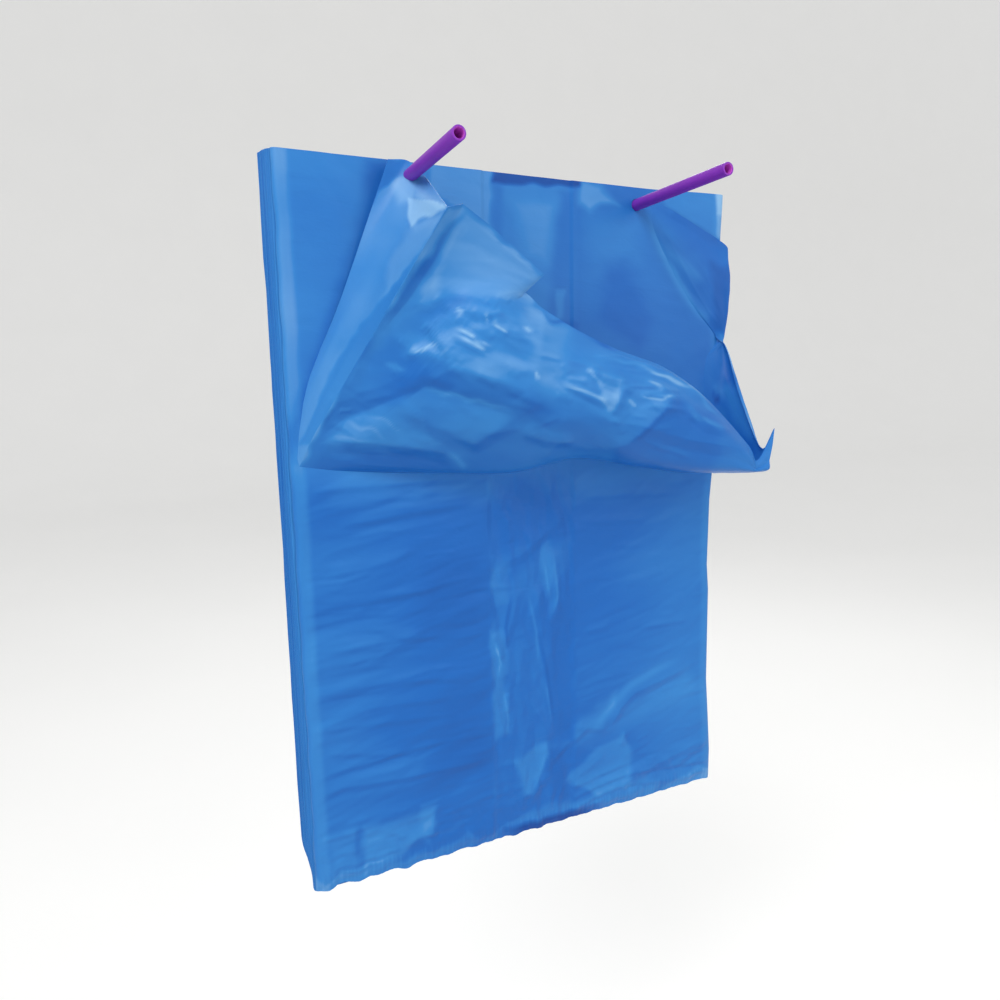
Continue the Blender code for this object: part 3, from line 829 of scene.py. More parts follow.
# %% Folds of the open film
# height in mm, reach above and below in pixels, line in pixels
panel_folds = [
    (0.35, 36, 10, [(428, 291), (446, 297), (470, 293), (496, 298), (514, 292), (530, 293)]),
    (1.8, 34, 18, [(430, 380), (455, 367), (490, 377), (524, 390), (534, 418)]),
    (-1.2, 12, 24, [(400, 404), (424, 388), (450, 394), (517, 418)]),
    (1.3, 30, 12, [(396, 404), (432, 424), (474, 442), (517, 418)]),
    (1.5, 26, 13, [(321, 440), (380, 442), (437, 449), (460, 457)]),
    (-1.2, 18, 24, [(318, 439), (345, 419), (383, 404), (420, 388)]),
    (1.0, 7, 9, [(407, 353), (424, 349), (439, 358)]),
    (1.0, 5, 5, [(455, 328), (474, 338), (490, 351)]),
    (0.8, 5, 5, [(451, 334), (470, 345), (488, 356)]),
    (1.0, 6, 6, [(493, 319), (499, 328), (509, 335)]),
    (0.7, 6, 7, [(444, 350), (452, 364)]),
    (0.7, 9, 9, [(470, 310), (485, 316), (505, 312)]),
    (0.8, 22, 20, [(545, 308), (541, 340), (540, 378)]),
    (1.0, 12, 7, [(562, 383), (588, 395), (614, 405)]),
    (0.9, 9, 7, [(585, 369), (606, 378), (628, 383)]),
    (0.9, 9, 8, [(628, 384), (618, 400), (611, 416)]),
    (0.7, 6, 6, [(646, 381), (656, 386), (667, 391)]),
    (0.7, 6, 6, [(640, 395), (657, 396), (675, 400)]),
    (1.9, 34, 20, [(678, 397), (652, 422), (628, 442), (604, 448)]),
    (1.2, 10, 8, [(588, 357), (618, 358), (645, 366), (668, 375), (690, 388), (712, 408)]),
    (1.0, 10, 9, [(685, 405), (707, 424), (731, 431)]),
    (-0.5, 8, 10, [(460, 214), (440, 252), (412, 296), (384, 330)]),
    (0.8, 20, 14, [(566, 410), (560, 440), (540, 462)]),
    (0.9, 18, 12, [(600, 420), (640, 425), (690, 440), (740, 448)]),
    (0.9, 10, 8, [(520, 430), (545, 440), (575, 441)]),
    (0.35, 7, 9, [(470, 214), (508, 246), (541, 277)]),
]
facet_folds = [
    (0.9, 10, 9, [(405, 176), (414, 188), (427, 198)]),
    (1.2, 9, 12, [(412, 198), (430, 203), (450, 208)]),
    (-0.9, 9, 9, [(410, 226), (430, 217), (449, 211)]),
    (0.7, 12, 8, [(308, 452), (321, 422), (336, 392)]),
    (-0.5, 9, 9, [(300, 440), (318, 396), (345, 336)]),
]
web_folds = [
    (0.6, 9, 14, [(655, 214), (672, 248), (692, 286), (708, 312), (724, 330)]),
    (0.9, 12, 8, [(667, 206), (692, 222), (722, 242)]),
    (0.6, 12, 14, [(664, 228), (684, 262), (708, 290)]),
    (0.7, 20, 14, [(690, 250), (712, 290), (728, 330)]),
    (0.9, 12, 8, [(722, 344), (736, 384), (756, 440)]),
    (0.6, 14, 10, [(716, 352), (722, 390), (742, 424), (762, 450)]),
]
film_folds = {"facet": facet_folds, "panel": panel_folds, "web": web_folds}
print(sum(map(len, film_folds.values())), "folds drawn on the open film")

# %% [markdown]
# The drawn folds come first. Facets and faint crinkles lie between them, thickest where the film has
# been gripped and crushed: three places on the panel, and a little by its mouth's edge.

# %% Crushed places, and lifting the sheet along its normals
# outline in pixels, softness, how crushed
crushed_places = [
    ([(398, 340), (440, 306), (520, 304), (545, 330), (530, 372), (470, 366), (430, 372),
      (400, 360)], 10.0, 1.0),
    ([(555, 370), (600, 352), (690, 372), (712, 404), (676, 412), (612, 420), (575, 398)], 10.0, 0.9),
    ([(312, 446), (345, 414), (424, 384), (520, 414), (470, 450), (430, 460)], 10.0, 0.35),
    ([(452, 212), (545, 272), (528, 300), (430, 300)], 12.0, 0.25),
]

# stretch, how much of it is crushed film's, height in mm, length and height in pixels, lean, seed
film_facets = [
    ("panel", 1.0, 0.42, (44, 13), 32, 131),
    ("panel", 1.0, 0.24, (18, 6), 42, 134),
    ("panel", 0.0, 0.45, (60, 24), 20, 137),
    ("panel", 0.0, 0.14, (22, 10), 40, 140),
    ("web", 0.0, 0.50, (70, 20), 58, 143),
    ("web", 0.0, 0.16, (26, 9), 50, 146),
    ("facet", 0.0, 0.22, (90, 18), 118, 149),
]

# seed, count, range across and down in pixels, of length, of slant and of height
faint_rules = [
    (31, 40, (400, 530), (300, 380), (10, 34), (20, 50), (0.15, 0.5)),
    (32, 30, (540, 690), (355, 430), (10, 36), (0, 60), (0.12, 0.42)),
    (33, 34, (330, 720), (385, 465), (12, 44), (-20, 35), (0.10, 0.34)),
]
FAINT_WIDER = 1.6
HEM_SHARE, LIP_SHARE = (0.22, 0.42), 0.03
LIFT_AT_LIP, LIFT_AT_FOLD = 0.2, 0.25

film_pixels = seen_at(film)
column = np.arange(film.shape[1])[None, :]
stretch_of = {"facet": column < left_fold, "panel": (column >= left_fold) & (column <= right_fold),
              "web": column > right_fold}
film_crush = np.zeros(film.shape[:2])
for outline, soft, amount in crushed_places:
    film_crush = np.maximum(film_crush, amount * patch(film_pixels, outline, soft) * stretch_of["panel"])

lift = sum(stretch_of[where] * folded(film_pixels, folds) for where, folds in film_folds.items())
print("folds lift the film by", round(float(lift.min()), 2), "to", round(float(lift.max()), 2), "mm")
for where, crushed, rise, *rule in film_facets:
    amount = rise * (1 - crushed + crushed * film_crush) * stretch_of[where]
    lift += amount * facets(film_pixels, *rule)
faint = [(rise, above * FAINT_WIDER, below * FAINT_WIDER, line)
         for rule in faint_rules for rise, above, below, line in faint_creases(*rule)]
lift += stretch_of["panel"] * folded(film_pixels, faint)

above_hem = smooth(*HEM_SHARE, row_share)
off_lip = LIFT_AT_LIP + (1 - LIFT_AT_LIP) * smooth(0.0, LIP_SHARE, 1 - row_share)
off_folds = smooth(0, 7, np.abs(column - left_fold)) * smooth(0, 5, np.abs(column - right_fold))
lift *= above_hem * off_lip * (LIFT_AT_FOLD + (1 - LIFT_AT_FOLD) * off_folds)
plain_film = film
film = plain_film + sheet_normals(plain_film) * (lift * MM)[..., None]
print("faint crinkles on the panel:", len(faint))

# %% [markdown]
# The tone of the open film is drawn in the same way, and most of it is painted light and shade. The
# upper left of the panel stands free of the back and is painted milky, partly for its single layer and
# partly as painted light. The facet beside the left tube is painted lighter where it faces the light,
# with a painted highlight by the tube, and the film by the hem gets a painted shade. Light streaks along
# the sharpest folds are painted highlights, and dark ones are painted shade in the folds.

# %% Tone of the open film, with its painted light and shade
# How strongly each fold's turn to the light is painted: painted shade.
FILM_PAINTED_SHADE = 0.7

# Painted light and shade on the panel: painted highlights on the crushed places and the star, painted light
# on the milky upper left and along the front fold, and painted shade by the hem and at the lower right.
# outline in pixels, softness, change of tone
panel_light_and_shade = [
    ([(462, 206), (545, 275), (530, 300), (430, 294), (420, 300), (440, 258)], 7.0, 0.36),
    ([(400, 300), (440, 262), (440, 300), (404, 326), (372, 352), (372, 330)], 8.0, 0.20),
    ([(448, 208), (461, 210), (398, 296), (345, 372), (322, 430), (298, 470), (298, 450),
      (380, 296)], 3.5, 0.36),
    ([(430, 294), (540, 293), (545, 303), (500, 308), (440, 308), (405, 318)], 4.0, 0.12),
    ([(400, 330), (440, 306), (530, 304), (572, 330), (560, 392), (500, 385), (450, 368),
      (404, 352)], 11.0, 0.22),
    ([(528, 306), (575, 326), (640, 356), (600, 372), (572, 404), (540, 400)], 11.0, 0.20),
    ([(420, 384), (432, 374), (455, 368), (526, 392), (545, 440), (516, 440), (520, 412)], 5.0, 0.06),
    ([(398, 406), (424, 384), (517, 416), (474, 443)], 7.0, 0.10),
    ([(320, 446), (347, 423), (378, 407), (398, 404), (424, 420), (440, 446), (400, 446)], 2.2, 0.12),
    ([(404, 352), (420, 336), (451, 311), (470, 307), (502, 316), (526, 320), (540, 344), (536, 374),
      (500, 378), (470, 366), (450, 366), (430, 354)], 4.0, 0.07),
    ([(604, 374), (627, 381), (618, 402), (610, 412), (598, 398)], 4.0, 0.28),
    ([(560, 376), (600, 360), (690, 374), (716, 412), (676, 404), (612, 424), (575, 400)], 10.0, 0.12),
    ([(678, 397), (722, 425), (712, 473), (608, 473), (616, 443), (628, 442)], 6.0, -0.14),
    ([(540, 405), (612, 440), (600, 455), (470, 470), (470, 440)], 9.0, -0.06),
    ([(322, 452), (440, 456), (458, 472), (300, 474)], 6.0, -0.10),
]
# A painted highlight on the facet by the left tube, and painted shade beside the tube and along the facet's
# edges.
facet_light_and_shade = [
    ([(409, 200), (430, 203), (451, 208), (428, 216), (411, 226)], 2.0, 0.62),
    ([(412, 202), (432, 204), (426, 213), (413, 220)], 3.0, 0.30),
    ([(392, 184), (404, 174), (416, 184), (430, 200), (400, 204)], 6.0, 0.24),
    ([(376, 156), (412, 160), (404, 174), (381, 191), (368, 206)], 2.5, -0.36),
    ([(446, 218), (416, 256), (382, 302), (352, 340), (331, 374), (314, 408), (301, 448), (318, 446),
      (352, 392), (404, 326), (438, 260)], 2.6, -0.15),
    ([(408, 230), (428, 218), (452, 212), (404, 276), (384, 300), (390, 262)], 5.0, 0.12),
    ([(326, 376), (352, 384), (312, 470), (298, 470), (304, 430)], 6.0, 0.02),
]
# Painted light and shade on the right web, and a dark spot painted where the punched hole is.
web_light_and_shade = [
    ([(660, 206), (724, 240), (730, 290), (716, 334), (706, 316), (688, 262)], 9.0, -0.06),
    ([(712, 262), (734, 270), (728, 334), (714, 330)], 5.0, -0.34),
    ([(700, 330), (734, 330), (779, 450), (748, 462), (700, 400)], 5.0, 0.02),
    ([(722, 338), (730, 336), (776, 450), (766, 452)], 4.0, 0.20),
    ([(714, 384), (735, 384), (757, 426), (748, 442), (722, 416)], 5.0, 0.25),
    ([(716, 400), (724, 398), (758, 452), (752, 458)], 4.0, -0.20),
    ([(711, 395), (716, 395), (717, 401), (712, 401)], 1.5, -0.60),
]
# Painted highlights along the sharpest folds, and painted shade lines where the change is negative.
# half width in pixels, change of tone, line in pixels
panel_highlights_and_shade_lines = [
    (1.8, 0.55, [(453, 326), (472, 337), (491, 352)]),
    (1.4, 0.42, [(455, 336), (472, 346), (489, 357)]),
    (1.8, 0.45, [(494, 318), (500, 328), (510, 336)]),
    (2.2, 0.45, [(405, 351), (422, 348), (441, 346)]),
    (2.2, 0.35, [(484, 313), (489, 321)]),
    (2.2, 0.35, [(526, 325), (534, 335)]),
    (2.2, 0.40, [(455, 309), (463, 317)]),
    (2.2, 0.34, [(562, 383), (588, 394), (614, 406)]),
    (2.8, 0.34, [(585, 369), (597, 378), (607, 389)]),
    (1.8, 0.36, [(645, 380), (656, 385), (667, 391)]),
    (1.8, 0.36, [(638, 394), (655, 396), (675, 400)]),
    (2.2, 0.26, [(586, 357), (618, 358), (645, 366), (668, 375), (690, 388), (733, 432)]),
    (3.0, 0.28, [(648, 368), (668, 375), (692, 390)]),
    (2.6, 0.30, [(685, 405), (707, 424), (731, 431)]),
    (2.0, 0.12, [(468, 216), (508, 248), (540, 277)]),
    (2.6, 0.32, [(412, 388), (450, 392), (520, 415)]),
    (3.2, 0.32, [(446, 452), (456, 458), (466, 470)]),
    (2.4, -0.35, [(535, 304), (549, 319), (569, 324), (613, 348), (628, 347)]),
    (2.6, -0.30, [(676, 400), (652, 426), (628, 446)]),
    (2.0, 0.10, [(330, 436), (350, 438), (372, 441)]),
    (2.0, 0.14, [(344, 422), (366, 428), (392, 440)]),
    (2.0, 0.14, [(366, 414), (392, 424), (410, 436)]),
    (2.2, 0.28, [(384, 366), (396, 366), (406, 370)]),
    (2.2, 0.40, [(536, 372), (541, 380)]),
    (2.2, 0.34, [(628, 398), (634, 408)]),
]
# Painted highlights on the right web: along its mouth edge and two of its folds.
web_highlights = [
    web_edge_highlight,
    (5.0, 0.18, [(662, 240), (684, 264), (706, 286)]),
    (3.0, 0.20, [(724, 340), (740, 386), (760, 444)]),
]
# The facet's higher plain tone is painted light, where it faces the light.
# stretch, its plain tone, patches and streaks
film_tones = [("facet", 0.45, facet_light_and_shade, []), ("panel", 0.12, panel_light_and_shade, panel_highlights_and_shade_lines),
              ("web", 0.08, web_light_and_shade, web_highlights)]

film_pixels = ragged(seen_at(film), 12, 3.2, 152)
# Painted shade from how each fold turns to the light, a little tone by chance, and the drawn painted light
# and shade of each stretch.
film_tone = FILM_PAINTED_SHADE * painted_relief_shade(film, plain_film) * above_hem + 0.10 * soft_noise(film_pixels, (60, 34), 155)
for where, base, patches, streaks in film_tones:
    film_tone += stretch_of[where] * (base + painted(film_pixels, patches) + streaked(film_pixels, streaks))
film_tone = np.clip(film_tone, -1, 1)
print("tone of the open film from", round(float(film_tone.min()), 2), "to", round(float(film_tone.max()), 2))

# %% [markdown]
# The sheet gets its thickness from Solidify, which also closes its rim. The modifier is applied by
# reading the evaluated mesh, so that what is kept is plain geometry.

# %% The open film as a mesh
def thin_sheet(name, places, tone, crush, wall):
    mesh = bpy.data.meshes.new(name)
    mesh.from_pydata(places.reshape(-1, 3).tolist(), [], grid_faces(*places.shape[:2]))
    write_marks(mesh, tone=tone, crush=crush)
    made = link(bpy.data.objects.new(name, mesh))
    thick = made.modifiers.new("Film wall", "SOLIDIFY")
    thick.thickness = wall
    thick.offset = 0.0
    thick.use_even_offset = False
    made.data = plain_mesh(made, name)
    bpy.data.meshes.remove(mesh)
    shade(made.data, FILM_SHARP_FROM)
    return made


open_film = thin_sheet("open_film", film, film_tone, film_crush, FILM_WALL)
print("open film:", len(open_film.data.polygons), "faces")

# %% [markdown]
# ## Building node trees in code
#
# The block of bags and the tubes repeat a simple form by a rule, which is what Geometry Nodes are
# for. A few small helpers keep the trees short to read. What a node hands out is wrapped, so that
# sums inside a tree can be written as sums. The last helper puts a finished tree on an object, sets
# its inputs by their identifiers and returns plain geometry.

# %% Helpers for node trees
class Handed:
    """What a node hands out. Numbers add, subtract and multiply like plain ones."""

    def __init__(self, tree, socket):
        self.tree, self.socket = tree, socket

    def math(self, operation, *others, clamp=False):
        return get(self.tree, "ShaderNodeMath", dict(enumerate((self, *others))),
                   operation=operation, use_clamp=clamp)

    def __add__(self, other):
        return self.math("ADD", other)

    def __sub__(self, other):
        return self.math("SUBTRACT", other)

    def __mul__(self, other):
        return self.math("MULTIPLY", other)

    def ramp(self, low, high):
        """0 below low, 1 above high, and smooth between."""
        return get(self.tree, "ShaderNodeMapRange", {"Value": self, "From Min": low, "From Max": high},
                   interpolation_type="SMOOTHSTEP")


def fill(tree, node, sockets):
    """Sets a node's inputs, by name or place, each to a value or to what another node hands out."""
    for key, value in sockets.items():
        if isinstance(value, Handed):
            tree.links.new(value.socket, node.inputs[key])
        else:
            node.inputs[key].default_value = value
    return node


def add(tree, kind, sockets, **fields):
    node = tree.nodes.new(kind)
    for field, value in fields.items():
        setattr(node, field, value)
    return fill(tree, node, sockets)


def get(tree, kind, sockets, output=0, **fields):
    """What a new node hands out."""
    return Handed(tree, add(tree, kind, sockets, **fields).outputs[output])


def mixed(tree, factor, colour, other):
    """A mix of two colours. A Mix node takes colours in its inputs 6 and 7 and gives one as output 2."""
    return get(tree, "ShaderNodeMix", {"Factor": factor, 6: colour, 7: other}, 2, data_type="RGBA")


def new_tree(name, kind, inputs, outputs):
    """A new group, and what it is given by name. hand_out finishes it."""
    tree = bpy.data.node_groups.new(name, kind)
    for label, (socket, *value) in inputs.items():
        made = tree.interface.new_socket(label, in_out="INPUT", socket_type="NodeSocket" + socket)
        if value:
            made.default_value = value[0]
    for label, socket in outputs.items():
        tree.interface.new_socket(label, in_out="OUTPUT", socket_type="NodeSocket" + socket)
    given = tree.nodes.new("NodeGroupInput").outputs
    return tree, {socket.name: Handed(tree, socket) for socket in given}


def hand_out(tree, **results):
    add(tree, "NodeGroupOutput", results)
    print("tree:", tree.name, "with", len(tree.nodes), "nodes, hands out", *results)


def made_by(tree, made, name, values):
    """Runs a geometry tree on an object, with its inputs set by identifier, and keeps a plain mesh."""
    step = made.modifiers.new(tree.name, "NODES")
    step.node_group = tree
    for item in tree.interface.items_tree:
        if item.item_type == "SOCKET" and item.in_out == "INPUT" and item.name in values:
            step[item.identifier] = values[item.name]
    old = made.data
    made.data = plain_mesh(made, name)
    made.name = name
    bpy.data.meshes.remove(old)
    return made


print("helpers for node trees are ready")

# %% [markdown]
# ## The finish of the film
#
# Food bag film is thin, slightly cloudy polythene: smooth to the touch, but full of faint marks from
# handling. Three things make it read as film rather than paint. Its blue changes with the number of
# layers, and with the painted light and shade that the tone on each point also carries. It has fine
# wrinkles, drawn out along the folds. And its gloss is broken up a little by them.
#
# The wrinkles are used by every film in the scene, so they are a group of their own, built once. A
# group hands out only values and colours; the shader itself stays in the material.

# %% Group: fine wrinkles of handled film
FINE_SCALE, FINE_SHARE = 3.6, 0.18

wrinkles, given = new_tree(
    "Film wrinkles", "ShaderNodeTree",
    {"Vector": ("Vector",), "Stretch": ("Float", 3.0), "Scale": ("Float", 60.0)},
    {"Height": "Float", "Mottle": "Float"})
stretch = get(wrinkles, "ShaderNodeCombineXYZ", {"X": 1.0, "Y": given["Stretch"], "Z": given["Stretch"]})
drawn_out = get(wrinkles, "ShaderNodeVectorMath", {0: given["Vector"], 1: stretch}, operation="MULTIPLY")
coarse = get(wrinkles, "ShaderNodeTexNoise", {
    "Vector": drawn_out, "Scale": given["Scale"], "Detail": 3.0, "Roughness": 0.55, "Distortion": 0.6})
fine = get(wrinkles, "ShaderNodeTexNoise", {
    "Vector": drawn_out, "Scale": given["Scale"] * FINE_SCALE, "Detail": 2.0, "Distortion": 0.9})
mottle = get(wrinkles, "ShaderNodeTexNoise", {"Vector": given["Vector"], "Scale": 16.0, "Detail": 3.0})
hand_out(wrinkles, Height=fine * FINE_SHARE + (coarse - 0.5).math("ABSOLUTE"), Mottle=mottle)

# %% Group: the blue of the film
MOTTLE_SHARE = 0.10
# place of the tone from 0, deep, to 1, milky, and its colour. The deep end also colours painted shade, and
# the milky end painted highlights.
BLUES = [(0.0, (0.004, 0.048, 0.28)), (0.5, (0.013, 0.136, 0.495)), (0.70, (0.036, 0.228, 0.60)),
         (1.0, (0.26, 0.50, 0.79))]

film_blue, given = new_tree("Film blue", "ShaderNodeTree", {"Tone": ("Float", 0.0), "Mottle": ("Float", 0.5)},
                            {"Color": "Color"})
toned = given["Tone"] + (given["Mottle"] - 0.5) * MOTTLE_SHARE
blues = add(film_blue, "ShaderNodeValToRGB", {"Fac": toned.math("MULTIPLY_ADD", 0.5, 0.5, clamp=True)})
stops = blues.color_ramp.elements
for place, colour in BLUES:
    stop = stops.new(place) if 0 < place < 1 else stops[-1 if place else 0]
    stop.color = (*colour, 1)
hand_out(film_blue, Color=Handed(film_blue, blues.outputs["Color"]))

# %% [markdown]
# Film throws only a weak shadow, because most of the light goes through it. So the sheet that stands
# off the bag is mostly clear for the rays that look for a lamp, and solid for the camera.

# %% Material: film
FILM_SPECULAR = 0.19
CRUSHED_RELIEF = 1.6
RELIEF_DEPTH = 0.0006


def new_material(name):
    material = bpy.data.materials.new(name)
    material.use_nodes = True
    return material, material.node_tree, material.node_tree.nodes["Principled BSDF"]


def read_mark(tree, name):
    return get(tree, "ShaderNodeAttribute", {}, "Fac", attribute_name=name)


def film_material(name, stretch, scale, bump, roughness, lets_through=0.0):
    material, tree, shader = new_material(name)
    where = get(tree, "ShaderNodeTexCoord", {}, "Object")
    marks = add(tree, "ShaderNodeGroup", {"Vector": where, "Stretch": stretch, "Scale": scale},
                node_tree=wrinkles)
    height, mottle = (Handed(tree, marks.outputs[name]) for name in ("Height", "Mottle"))
    relief = height * (read_mark(tree, "crush") * CRUSHED_RELIEF + 1.0)
    fill(tree, shader, {
        "Specular IOR Level": FILM_SPECULAR, "IOR": 1.5,
        "Base Color": get(tree, "ShaderNodeGroup", {"Tone": read_mark(tree, "tone"), "Mottle": mottle},
                          node_tree=film_blue),
        "Roughness": get(tree, "ShaderNodeMapRange", {
            "Value": mottle, "From Min": 0.3, "From Max": 0.7,
            "To Min": roughness - 0.05, "To Max": roughness + 0.08}),
        "Normal": get(tree, "ShaderNodeBump", {
            "Height": relief, "Strength": bump, "Distance": RELIEF_DEPTH})})
    if lets_through:
        shadow_ray = get(tree, "ShaderNodeLightPath", {}, "Is Shadow Ray")
        fill(tree, shader, {"Alpha": shadow_ray.math("MULTIPLY_ADD", -lets_through, 1.0)})
    return material


pressed_material = film_material("film_pressed", 2.6, 42.0, bump=0.50, roughness=0.38)
open_material = film_material("film_open", 1.3, 46.0, bump=0.40, roughness=0.38, lets_through=0.7)
block_material = film_material("film_block", 3.0, 55.0, bump=0.35, roughness=0.42)
print("film materials:", pressed_material.name, open_material.name, block_material.name)

# %% [markdown]
# ## The block of bags
#
# Behind the front bag hang the others, pressed flat. What shows of them is their edges: thin leaves,
# stepped and a little uneven, fanned out to the left towards the back. One leaf is made as a thin
# slab with round sides and two punched holes. A geometry tree then stacks copies of it, shifts each
# by a small chance amount, fans them, and draws in their bottom corner.

# %% One leaf of the block
LEAVES = 24
LEAF_SHARE = 0.86
LEAF_STOPS, LEAF_STEPS = (-0.131, -0.1, 0.1, 0.131), (5, 6, 24, 6, 5)
PLAIN_LEVELS, LOW_LEVELS = 22, 10
PUNCH_SIDES, PUNCH_DEPTH = 40, 0.2
leaf_pitch = -block_low.y / LEAVES
leaf_thickness = leaf_pitch * LEAF_SHARE


def leaf_mesh():
    """A slab as thick as one leaf, its front at y 0, with rounded sides and two holes."""
    flat_half = half_width - leaf_thickness
    across = even([-flat_half, *LEAF_STOPS, flat_half], LEAF_STEPS)
    right_round = [(flat_half + leaf_thickness * math.sin(a), leaf_thickness / 2 * (1 - math.cos(a)))
                   for a in np.linspace(0, math.pi, 6)[1:-1]]
    left_round = [(-x, leaf_thickness - y) for x, y in right_round]
    back = [(x, leaf_thickness) for x in reversed(across)]
    ring = [(x, 0.0) for x in across] + right_round + back + left_round
    levels = even([0.0, bag_height - LOW_BAND, bag_height], [PLAIN_LEVELS, LOW_LEVELS])
    mesh = bpy.data.meshes.new("leaf")
    with editing(mesh) as edit:
        rings = [[edit.verts.new((x + right_bow(x, down), y, mouth_z - down)) for x, y in ring]
                 for down in levels]
        for upper, lower in zip(rings, rings[1:]):
            for index in range(len(ring)):
                after = (index + 1) % len(ring)
                edit.faces.new((upper[index], upper[after], lower[after], lower[index]))
        edit.faces.new(rings[0])
        edit.faces.new(rings[-1])
        bmesh.ops.recalc_face_normals(edit, faces=edit.faces)
    return mesh


def punch(made, radius):
    """Cuts the two holes through a flat piece."""
    for x in (-tube_x, tube_x):
        mesh = bpy.data.meshes.new("punch")
        with editing(mesh) as edit:
            bmesh.ops.create_cone(
                edit, cap_ends=True, segments=PUNCH_SIDES, radius1=radius, radius2=radius, depth=PUNCH_DEPTH,
                matrix=Matrix.Translation((x, 0, 0)) @ Matrix.Rotation(math.pi / 2, 4, "X"))
        cutter = link(bpy.data.objects.new("punch", mesh))
        cut = made.modifiers.new("Hole", "BOOLEAN")
        cut.solver = "EXACT"
        cut.object = cutter
        old = made.data
        made.data = plain_mesh(made, old.name)
        bpy.data.objects.remove(cutter)
        for done in (mesh, old):
            bpy.data.meshes.remove(done)


leaf = link(bpy.data.objects.new("leaf", leaf_mesh()))
punch(leaf, tube_radius + HOLE_CLEARANCE)
print("one leaf:", len(leaf.data.polygons), "faces,", round(leaf_pitch / MM, 2), "mm apart")

# %% Geometry tree: a fanned stack of leaves
FAN_FROM, FAN_TO = 0.104, 0.141
STRIP_INSIDE, STRIP_OUTSIDE = 0.002, 0.007
SEED_STEP, UNREST_SCALE = 7.31, 17.0
# How much paler the folded edges are, a painted highlight, how much paler the bottom is, and how much each
# leaf's tone differs by chance.
PALE_SIDES, PALE_BOTTOM, ODD_TONE = 0.24, 0.14, 0.16

stack, given = new_tree("Fanned stack", "GeometryNodeTree", {
    "Leaf": ("Geometry",), "Leaves": ("Int", 10), "Pitch": ("Float", 0.001), "Front": ("Float", 0.0),
    "Fan left": ("Float", 0.0), "Fan right": ("Float", 0.0), "Edge play": ("Float", 0.0),
    "Corner cut": ("Float", 0.0), "Centre dip": ("Float", 0.0), "Seed": ("Int", 1),
    "Material": ("Material",)}, {"Geometry": "Geometry"})
step = get(stack, "ShaderNodeCombineXYZ", {"Y": given["Pitch"]})
start = get(stack, "ShaderNodeCombineXYZ", {"Y": given["Front"]})
row = get(stack, "GeometryNodeMeshLine", {"Count": given["Leaves"], "Start Location": start, "Offset": step},
          mode="OFFSET")
copies = get(stack, "GeometryNodeInstanceOnPoints", {"Points": row, "Instance": given["Leaf"]})
number = get(stack, "GeometryNodeInputIndex", {})
marked = get(stack, "GeometryNodeStoreNamedAttribute", {"Geometry": copies, "Name": "leaf", "Value": number},
             data_type="FLOAT", domain="INSTANCE")
real = get(stack, "GeometryNodeRealizeInstances", {"Geometry": marked})

position = get(stack, "GeometryNodeInputPosition", {})
split = add(stack, "ShaderNodeSeparateXYZ", {0: position})
x, _, z = (Handed(stack, socket) for socket in split.outputs)
which = get(stack, "GeometryNodeInputNamedAttribute", {"Name": "leaf"}, data_type="FLOAT")
share = which.math("DIVIDE", given["Leaves"])
to_left, to_right = x.ramp(-FAN_FROM, -FAN_TO), x.ramp(FAN_FROM, FAN_TO)
to_bottom = z.ramp(mouth_z - bag_height + LOW_BAND, mouth_z - bag_height)

# A wandering edge, different on each leaf
leaf_seed = which.math("MULTIPLY_ADD", SEED_STEP, given["Seed"])
edge_point = get(stack, "ShaderNodeCombineXYZ", {"X": x, "Y": leaf_seed, "Z": z})
unrest = get(stack, "ShaderNodeTexNoise", {"Vector": edge_point, "Scale": UNREST_SCALE, "Detail": 3.0})
play = (unrest - 0.5) * given["Edge play"]

left_out = share.math("POWER", 0.5) * given["Fan left"] + play - share * to_bottom * given["Corner cut"]
right_in = share * given["Fan right"] + play
shift_x = (left_out * to_left + right_in * to_right) * -1.0

# Two layers instead of four down the middle, so the stack is thinner there
beside_strip = x.math("ABSOLUTE").ramp(centre_half - STRIP_INSIDE, centre_half + STRIP_OUTSIDE)
from_mid = share.math("MULTIPLY_ADD", -2.0, 1.0)
shift_y = (from_mid - from_mid * beside_strip) * given["Centre dip"]
shift = get(stack, "ShaderNodeCombineXYZ", {"X": shift_x, "Y": shift_y, "Z": play * to_bottom})
moved = get(stack, "GeometryNodeSetPosition", {"Geometry": real, "Offset": shift})

# Paler at the folded edges, a painted highlight where the layers turn, and along the bottom, and each leaf a
# little different
pale = (to_left.math("MAXIMUM", to_right) * PALE_SIDES).math("MAXIMUM", to_bottom * PALE_BOTTOM)
odd = add(stack, "FunctionNodeRandomValue", {
    "Min": -ODD_TONE, "Max": ODD_TONE, "ID": which, "Seed": given["Seed"]}, data_type="FLOAT")
odd_tone = Handed(stack, next(socket for socket in odd.outputs if socket.enabled))
toned = get(stack, "GeometryNodeStoreNamedAttribute",
            {"Geometry": moved, "Name": "tone", "Value": pale + odd_tone}, data_type="FLOAT", domain="POINT")
hand_out(stack, Geometry=get(stack, "GeometryNodeSetMaterial", {
    "Geometry": toned, "Material": given["Material"]}))

# %% The block
LEAF_SHARP_FROM = 50

bag_leaves = made_by(stack, leaf, "bag_leaves", {
    "Leaves": LEAVES, "Pitch": leaf_pitch, "Front": block_low.y, "Fan left": 0.005, "Fan right": 0.0012,
    "Edge play": 0.0022, "Corner cut": 0.006, "Centre dip": 0.0012, "Seed": 5, "Material": block_material})
shade(bag_leaves.data, LEAF_SHARP_FROM)
print("block:", len(bag_leaves.data.polygons), "faces in", LEAVES, "leaves")

# %% [markdown]
# ## The hollow tubes
#
# Each tube is an extruded purple plastic tube, cut square, with slightly softened edges. A hollow
# tube is a rounded rectangle, the section of its wall, carried round a circle. The tree takes its
# sizes from the solid tubes, so the new ones lie exactly where those are.

